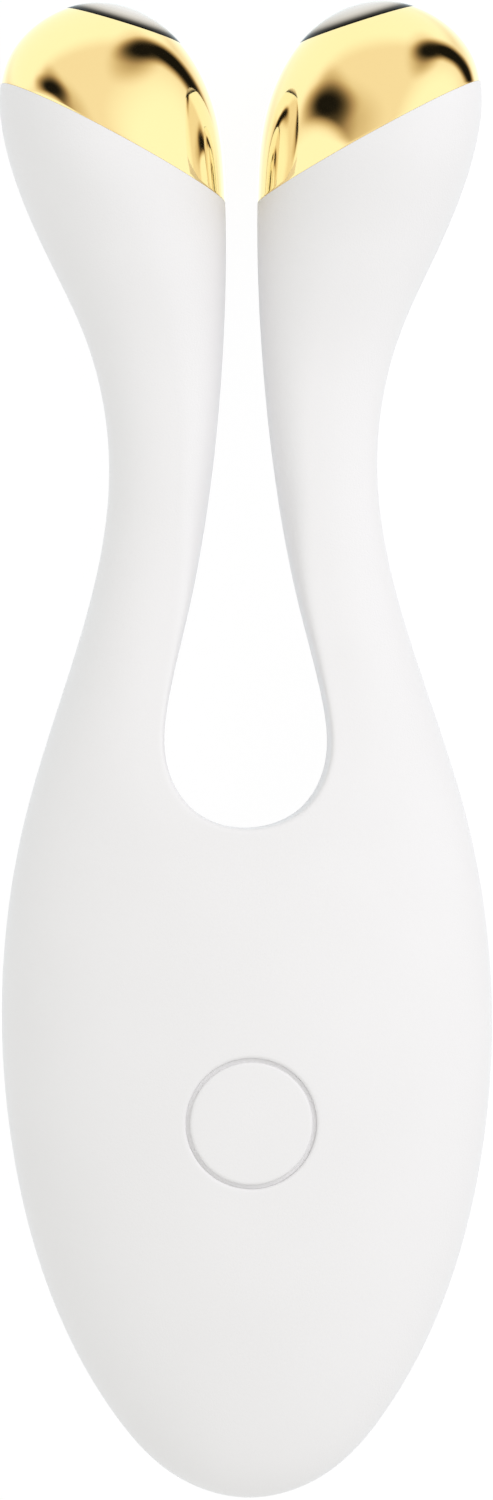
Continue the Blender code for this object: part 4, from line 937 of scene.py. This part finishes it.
def dome_painted_reflection(group):
    """A glossy lens cap with a painted reflection: near black along its seam, pale grey towards
    its tip.
    """
    made, tree, shader = new_material("dome_painted_reflection")
    grain = grained(tree, group, *MIRROR_SCALES)
    place = tree.nodes.new("ShaderNodeTexCoord")
    apart = tree.nodes.new("ShaderNodeSeparateXYZ")
    tree.links.new(place.outputs["Object"], apart.inputs["Vector"])
    aside = tree.nodes.new("ShaderNodeMath")
    aside.operation = "ABSOLUTE"
    tree.links.new(apart.outputs["X"], aside.inputs[0])
    start, along = seam_line()
    terms = ((aside.outputs["Value"], -along[1]), (apart.outputs["Y"], along[0]))
    total = weighted_sum(tree, terms)
    offset = start[1] * along[0] - start[0] * along[1]
    # Painted reflection: the base colour runs from near black at the seam to pale grey towards the
    # tip
    ramp = tree.nodes.new("ShaderNodeValToRGB")
    span = tree.nodes.new("ShaderNodeMapRange")
    span.inputs["From Min"].default_value = offset
    span.inputs["From Max"].default_value = offset + DOME_REFLECTION_FADE
    tree.links.new(total, span.inputs["Value"])
    tree.links.new(span.outputs["Result"], ramp.inputs["Fac"])
    while len(ramp.color_ramp.elements) < len(DOME_REFLECTION_STOPS):
        ramp.color_ramp.elements.new(0.5)
    for element, (share, value) in zip(ramp.color_ramp.elements, DOME_REFLECTION_STOPS):
        green = value * (DOME_REFLECTION_GREEN[0] + DOME_REFLECTION_GREEN[1] * share)
        blue = value * (DOME_REFLECTION_BLUE[0] + DOME_REFLECTION_BLUE[1] * share)
        element.position = share
        element.color = (value, green, blue, 1.0)
    tree.links.new(ramp.outputs["Color"], shader.inputs["Base Color"])
    rough = ranged(tree, grain.outputs["Grain"], *GLAZE_ROUGHNESS)
    tree.links.new(rough, shader.inputs["Roughness"])
    shader.inputs["IOR"].default_value = GLAZE_IOR
    shader.inputs["Specular IOR Level"].default_value = GLAZE_GLOSS
    shader.inputs["Specular Tint"].default_value = GLAZE_TINT
    return made


# Name, dark and light colour, roughness from and to, metallic, grain and mottle scale, bump
INNER_FINISHES = {
    "seal_rubber": ((0.46, 0.46, 0.47), (0.55, 0.55, 0.56), 0.65, 0.8, 0.0, 3000.0, 80.0, 3e-5),
    "core_plastic": ((0.70, 0.70, 0.68), (0.77, 0.77, 0.75), 0.42, 0.55, 0.0, 2500.0, 60.0, 1e-5),
    "circuit_board": ((0.02, 0.17, 0.07), (0.04, 0.24, 0.11), 0.3, 0.45, 0.0, 2500.0, 300.0, 1e-5),
    "led_resin": ((0.85, 0.80, 0.52), (0.93, 0.89, 0.65), 0.15, 0.3, 0.0, 2500.0, 700.0, 1e-5),
    "black_plastic": ((0.02, 0.02, 0.02), (0.04, 0.04, 0.04), 0.4, 0.55, 0.0, 2500.0, 150.0, 1e-5),
    "steel": ((0.52, 0.52, 0.53), (0.64, 0.64, 0.65), 0.2, 0.35, 1.0, 2500.0, 150.0, 5e-6),
    "ferrite": ((0.08, 0.075, 0.075), (0.14, 0.13, 0.13), 0.5, 0.7, 0.2, 2500.0, 400.0, 2e-5),
    "plug_plastic": ((0.80, 0.77, 0.66), (0.87, 0.84, 0.74), 0.4, 0.55, 0.0, 2500.0, 200.0, 1e-5),
    "cell_foil": ((0.50, 0.51, 0.55), (0.62, 0.63, 0.67), 0.25, 0.42, 0.8, 900.0, 120.0, 6e-5),
    "foam": ((0.05, 0.05, 0.05), (0.13, 0.13, 0.13), 0.85, 1.0, 0.0, 3500.0, 900.0, 2e-4),
    "brass_weight": ((0.62, 0.44, 0.16), (0.75, 0.54, 0.22), 0.22, 0.38, 1.0, 2500.0, 200.0, 5e-6),
    "flex_film": ((0.52, 0.25, 0.03), (0.64, 0.33, 0.06), 0.25, 0.4, 0.0, 2500.0, 300.0, 5e-6),
    "lead_red": ((0.50, 0.02, 0.02), (0.64, 0.04, 0.03), 0.4, 0.55, 0.0, 2500.0, 400.0, 1e-5),
    "lead_black": ((0.015, 0.015, 0.015), (0.03, 0.03, 0.03), 0.4, 0.55, 0.0, 2500.0, 400.0, 1e-5),
    "lead_white": ((0.74, 0.74, 0.74), (0.82, 0.82, 0.82), 0.4, 0.55, 0.0, 2500.0, 400.0, 1e-5),
}


def inner_finish(group, name):
    """One of the finishes of the pieces inside."""
    low, high, smooth, rough, metallic, grain_scale, mottle_scale, bump = INNER_FINISHES[name]
    made, tree, shader = new_material(name)
    grain = grained(tree, group, grain_scale, mottle_scale)
    tree.links.new(
        blended(tree, grain.outputs["Mottle"], low, high), shader.inputs["Base Color"]
    )
    tree.links.new(
        ranged(tree, grain.outputs["Grain"], smooth, rough), shader.inputs["Roughness"]
    )
    shader.inputs["Metallic"].default_value = metallic
    bumped(tree, shader, grain.outputs["Grain"], bump)
    return made


def dress_inner_nodes(group, outer_materials):
    """Every carried-over node takes the finish of its slot in the record."""
    made = dict(outer_materials)
    for entry in frame["record"]["subparts"]:
        slot = entry["material_slot"]
        if slot not in made:
            made[slot] = inner_finish(group, slot)
        node = frame["nodes"][entry["node"]]
        node.data.materials.clear()
        node.data.materials.append(made[slot])


# Floor, light and camera


# The floor lies a hair below the pad, so that the two don't share a plane. Its base and glow
# are what the camera sees. The table's white and glow are what it sends up to the device
FLOOR_SIZE = 3.0
FLOOR_GAP = 0.0001
FLOOR_BASE = (0.07, 0.07, 0.07, 1.0)
FLOOR_ROUGHNESS = 0.9
FLOOR_GLOW = 0.95
TABLE_WHITE = (0.9, 0.9, 0.9, 1.0)
TABLE_GLOW = 0.9
WORLD_LIGHT = 0.855
WORLD_COLOUR = (1.0, 1.0, 0.975, 1.0)
WHITE = (1.0, 1.0, 1.0, 1.0)
KEY_PLACE = (0.78, 0.66, 1.0)
KEY_SIZE = 0.9
KEY_POWER = 5.0
KEY_COLOUR = (1.0, 0.97, 1.04)
CLIP_NEAR, CLIP_FAR = 0.01, 10.0

# What mirrors see round the device: soft cards. Each has its level, azimuth
# from +X towards +Y and elevation, half sizes across and up and turn, all in degrees, then
# how much of it fades out and its opacity
BRIGHT = 1.33
DARK = 0.0
CARDS = (
    (BRIGHT, 5, 30, 50, 55, 0, 0.7, 1.0),
    (BRIGHT, 112, -25, 70, 45, 0, 0.5, 1.0),
    (BRIGHT, 0, -85, 50, 50, 0, 0.6, 1.0),
    (DARK, 150, 44, 26, 45, 0, 1.0, 0.45),
    (DARK, 148, 37, 18, 36, -30, 1.0, 0.75),
    (DARK, 149, 29, 16, 30, 20, 0.8, 1.0),
    (DARK, 61, 12, 19, 33, -5, 1.0, 0.7),
    (DARK, 59, 5, 13, 25, -35, 0.8, 1.0),
    (DARK, 42, -15, 14, 44, -45, 0.7, 1.0),
    (DARK, 20, -32, 14, 30, -45, 0.8, 1.0),
    (BRIGHT, 189, 28, 30, 40, 0, 0.35, 1.0),
)
# A card shows only in front of its own horizon
CARD_LIMIT = 0.05
# What each level shows as, from the dark cards to the bright ones, with a ramp's colours
# kept under 1 by the peak
STUDIO_PEAK = 1.4
STUDIO_TONES = (
    (0.0, (0.01, 0.01, 0.01)),
    (0.15, (0.19, 0.15, 0.10)),
    (0.35, (0.44, 0.35, 0.25)),
    (0.55, (0.63, 0.55, 0.42)),
    (0.75, (0.81, 0.75, 0.64)),
    (1.0, (1.0, 1.0, 0.98)),
    (1.33, (1.14, 1.30, 1.38)),
)


def seen_rays(tree):
    """1 for the rays of the camera and of mirror-like or clear surfaces, 0 for diffuse light."""
    path = tree.nodes.new("ShaderNodeLightPath")
    total = path.outputs["Is Camera Ray"]
    for name in ("Is Glossy Ray", "Is Transmission Ray"):
        larger = tree.nodes.new("ShaderNodeMath")
        larger.operation = "MAXIMUM"
        tree.links.new(total, larger.inputs[0])
        tree.links.new(path.outputs[name], larger.inputs[1])
        total = larger.outputs["Value"]
    return total


def floor():
    """A pale floor that the camera sees as white, with a trace of the device's shadow."""
    bm = bmesh.new()
    place = Matrix.Translation((0.0, 0.0, -FLOOR_GAP))
    bmesh.ops.create_grid(bm, x_segments=8, y_segments=8, size=FLOOR_SIZE / 2, matrix=place)
    mesh = bpy.data.meshes.new("floor")
    bm.to_mesh(mesh)
    bm.free()
    made = bpy.data.objects.new("floor", mesh)
    bpy.context.scene.collection.objects.link(made)
    made.visible_glossy = False
    material, tree, shader = new_material("floor_white")
    shader.inputs["Base Color"].default_value = FLOOR_BASE
    shader.inputs["Roughness"].default_value = FLOOR_ROUGHNESS
    shader.inputs["Specular IOR Level"].default_value = 0.0
    shader.inputs["Emission Color"].default_value = WHITE
    shader.inputs["Emission Strength"].default_value = FLOOR_GLOW
    # To the device it is a light table: half of what it sends up doesn't depend on shadows
    bounce = tree.nodes.new("ShaderNodeMixShader")
    matt = tree.nodes.new("ShaderNodeBsdfDiffuse")
    matt.inputs["Color"].default_value = TABLE_WHITE
    table = tree.nodes.new("ShaderNodeEmission")
    table.inputs["Strength"].default_value = TABLE_GLOW
    tree.links.new(matt.outputs["BSDF"], bounce.inputs[1])
    tree.links.new(table.outputs["Emission"], bounce.inputs[2])
    mix = tree.nodes.new("ShaderNodeMixShader")
    tree.links.new(seen_rays(tree), mix.inputs["Fac"])
    tree.links.new(bounce.outputs["Shader"], mix.inputs[1])
    tree.links.new(shader.outputs["BSDF"], mix.inputs[2])
    tree.links.new(mix.outputs["Shader"], tree.nodes["Material Output"].inputs["Surface"])
    mesh.materials.append(material)


def direction(azimuth, elevation):
    """The direction of a place in the studio, from its two angles in degrees."""
    around, up = math.radians(azimuth), math.radians(elevation)
    return Vector(
        (math.cos(up) * math.cos(around), math.cos(up) * math.sin(around), math.sin(up))
    )


def card_group():
    """How much a soft elliptical card covers of the view in a direction, from 0 to 1."""
    group = bpy.data.node_groups.new("soft_card", "ShaderNodeTree")
    face = group.interface
    for name in ("Direction", "Centre", "Across", "Up"):
        face.new_socket(name, in_out="INPUT", socket_type="NodeSocketVector")
    for name in ("Core", "Opacity"):
        face.new_socket(name, in_out="INPUT", socket_type="NodeSocketFloat")
    face.new_socket("Cover", in_out="OUTPUT", socket_type="NodeSocketFloat")
    nodes, links = group.nodes, group.links
    given = nodes.new("NodeGroupInput")
    out = nodes.new("NodeGroupOutput")

    def dot(name):
        made = nodes.new("ShaderNodeVectorMath")
        made.operation = "DOT_PRODUCT"
        links.new(given.outputs["Direction"], made.inputs[0])
        links.new(given.outputs[name], made.inputs[1])
        return made.outputs["Value"]

    def maths(operation, *values):
        made = nodes.new("ShaderNodeMath")
        made.operation = operation
        for place, value in enumerate(values):
            if isinstance(value, float):
                made.inputs[place].default_value = value
            else:
                links.new(value, made.inputs[place])
        return made.outputs["Value"]

    ahead = maths("MAXIMUM", dot("Centre"), CARD_LIMIT)
    across = maths("DIVIDE", dot("Across"), ahead)
    up = maths("DIVIDE", dot("Up"), ahead)
    squares = maths("ADD", maths("MULTIPLY", across, across), maths("MULTIPLY", up, up))
    fade = nodes.new("ShaderNodeMapRange")
    fade.interpolation_type = "SMOOTHSTEP"
    links.new(maths("SQRT", squares), fade.inputs["Value"])
    links.new(given.outputs["Core"], fade.inputs["From Min"])
    fade.inputs["From Max"].default_value = 1.0
    fade.inputs["To Min"].default_value = 1.0
    fade.inputs["To Max"].default_value = 0.0
    in_front = maths("GREATER_THAN", dot("Centre"), CARD_LIMIT)
    cover = maths("MULTIPLY", fade.outputs["Result"], given.outputs["Opacity"])
    links.new(maths("MULTIPLY", cover, in_front), out.inputs["Cover"])
    return group


def studio_colour(tree):
    """What mirrors see: a white studio with soft bright panels and dark gaps between them."""
    group = card_group()
    place = tree.nodes.new("ShaderNodeTexCoord")
    level = None
    for shade, azimuth, elevation, wide, high, turn, soft, opacity in CARDS:
        centre = direction(azimuth, elevation)
        side = Vector((0.0, 0.0, 1.0)).cross(centre).normalized()
        above = centre.cross(side)
        turned = math.radians(turn)
        across = side * math.cos(turned) + above * math.sin(turned)
        up = above * math.cos(turned) - side * math.sin(turned)
        card = tree.nodes.new("ShaderNodeGroup")
        card.node_tree = group
        tree.links.new(place.outputs["Generated"], card.inputs["Direction"])
        card.inputs["Centre"].default_value = centre
        card.inputs["Across"].default_value = across / math.tan(math.radians(wide))
        card.inputs["Up"].default_value = up / math.tan(math.radians(high))
        card.inputs["Core"].default_value = 1.0 - soft
        card.inputs["Opacity"].default_value = opacity
        mix = tree.nodes.new("ShaderNodeMix")
        mix.data_type = "FLOAT"
        tree.links.new(card.outputs["Cover"], mix.inputs["Factor"])
        mix.inputs["A"].default_value = 1.0
        mix.inputs["B"].default_value = shade
        if level is not None:
            tree.links.new(level, mix.inputs["A"])
        level = mix.outputs["Result"]
    ramp = tree.nodes.new("ShaderNodeValToRGB")
    share = tree.nodes.new("ShaderNodeMath")
    share.operation = "DIVIDE"
    share.inputs[1].default_value = BRIGHT
    tree.links.new(level, share.inputs[0])
    tree.links.new(share.outputs["Value"], ramp.inputs["Fac"])
    while len(ramp.color_ramp.elements) < len(STUDIO_TONES):
        ramp.color_ramp.elements.new(0.5)
    for element, (at, colour) in zip(ramp.color_ramp.elements, STUDIO_TONES):
        element.position = at / BRIGHT
        element.color = (*[value / STUDIO_PEAK for value in colour], 1.0)
    return ramp.outputs["Color"]


def world():
    """Even light on matt surfaces, plain white for the camera, the studio for mirrors."""
    made = bpy.data.worlds.new("studio")
    bpy.context.scene.world = made
    made.use_nodes = True
    tree = made.node_tree
    lit = tree.nodes["Background"]
    lit.inputs["Color"].default_value = WORLD_COLOUR
    lit.inputs["Strength"].default_value = WORLD_LIGHT
    white = tree.nodes.new("ShaderNodeBackground")
    white.inputs["Color"].default_value = WHITE
    shown = tree.nodes.new("ShaderNodeBackground")
    shown.inputs["Strength"].default_value = STUDIO_PEAK
    tree.links.new(studio_colour(tree), shown.inputs["Color"])
    path = tree.nodes.new("ShaderNodeLightPath")
    seen = tree.nodes.new("ShaderNodeMixShader")
    tree.links.new(path.outputs["Is Glossy Ray"], seen.inputs["Fac"])
    tree.links.new(white.outputs["Background"], seen.inputs[1])
    tree.links.new(shown.outputs["Background"], seen.inputs[2])
    mix = tree.nodes.new("ShaderNodeMixShader")
    tree.links.new(seen_rays(tree), mix.inputs["Fac"])
    tree.links.new(lit.outputs["Background"], mix.inputs[1])
    tree.links.new(seen.outputs["Shader"], mix.inputs[2])
    tree.links.new(mix.outputs["Shader"], tree.nodes["World Output"].inputs["Surface"])


def key_light():
    """A soft light from the upper right that looks at the device; mirrors don't see it."""
    data = bpy.data.lights.new("key_light", "AREA")
    data.shape = "RECTANGLE"
    data.size = data.size_y = KEY_SIZE
    data.energy = KEY_POWER
    data.color = KEY_COLOUR
    made = bpy.data.objects.new("key_light", data)
    bpy.context.scene.collection.objects.link(made)
    made.visible_glossy = False
    made.location = KEY_PLACE
    made.rotation_mode = "QUATERNION"
    made.rotation_quaternion = (-Vector(KEY_PLACE)).to_track_quat("-Z", "Y")


def camera():
    """Straight down on the front, with the photograph's small roll and turn."""
    data = bpy.data.cameras.new("photo_camera")
    data.sensor_width = SENSOR
    data.lens = LENS
    data.dof.use_dof = False
    made = bpy.data.objects.new("photo_camera", data)
    bpy.context.scene.collection.objects.link(made)
    height = PHOTO_HEIGHT * MM_PER_PIXEL / 1000
    distance = height * LENS / SENSOR
    off = Vector((PHOTO_WIDTH / 2 - AXIS_X_PIXEL, AXIS_Y_PIXEL - PHOTO_HEIGHT / 2, 0.0))
    off *= MM_PER_PIXEL / 1000
    frame_turn = Matrix.Rotation(-YAW, 4, "Y") @ Matrix.Rotation(-ROLL, 4, "Z")
    target = Vector((0.0, 0.0, MID_Z))
    centre = Matrix.Translation(target) @ frame_turn
    made.matrix_world = centre @ Matrix.Translation((off.x, off.y, distance))
    data.clip_start, data.clip_end = CLIP_NEAR, CLIP_FAR
    bpy.context.scene.camera = made


def main():
    group = surface_group()
    skin, gold, painted_dome = silicone(group), gold_plate(group), dome_painted_reflection(group)
    dress_inner_nodes(group, {"skin": skin, "gold_plate": gold, "tip_lens": painted_dome})
    front_cover(skin)
    rear_cover(skin)
    gold_caps(gold)
    tip_domes(painted_dome)
    button_key(skin)
    floor()
    world()
    key_light()
    camera()
    view = bpy.context.scene.view_settings
    view.view_transform = "Standard"


main()
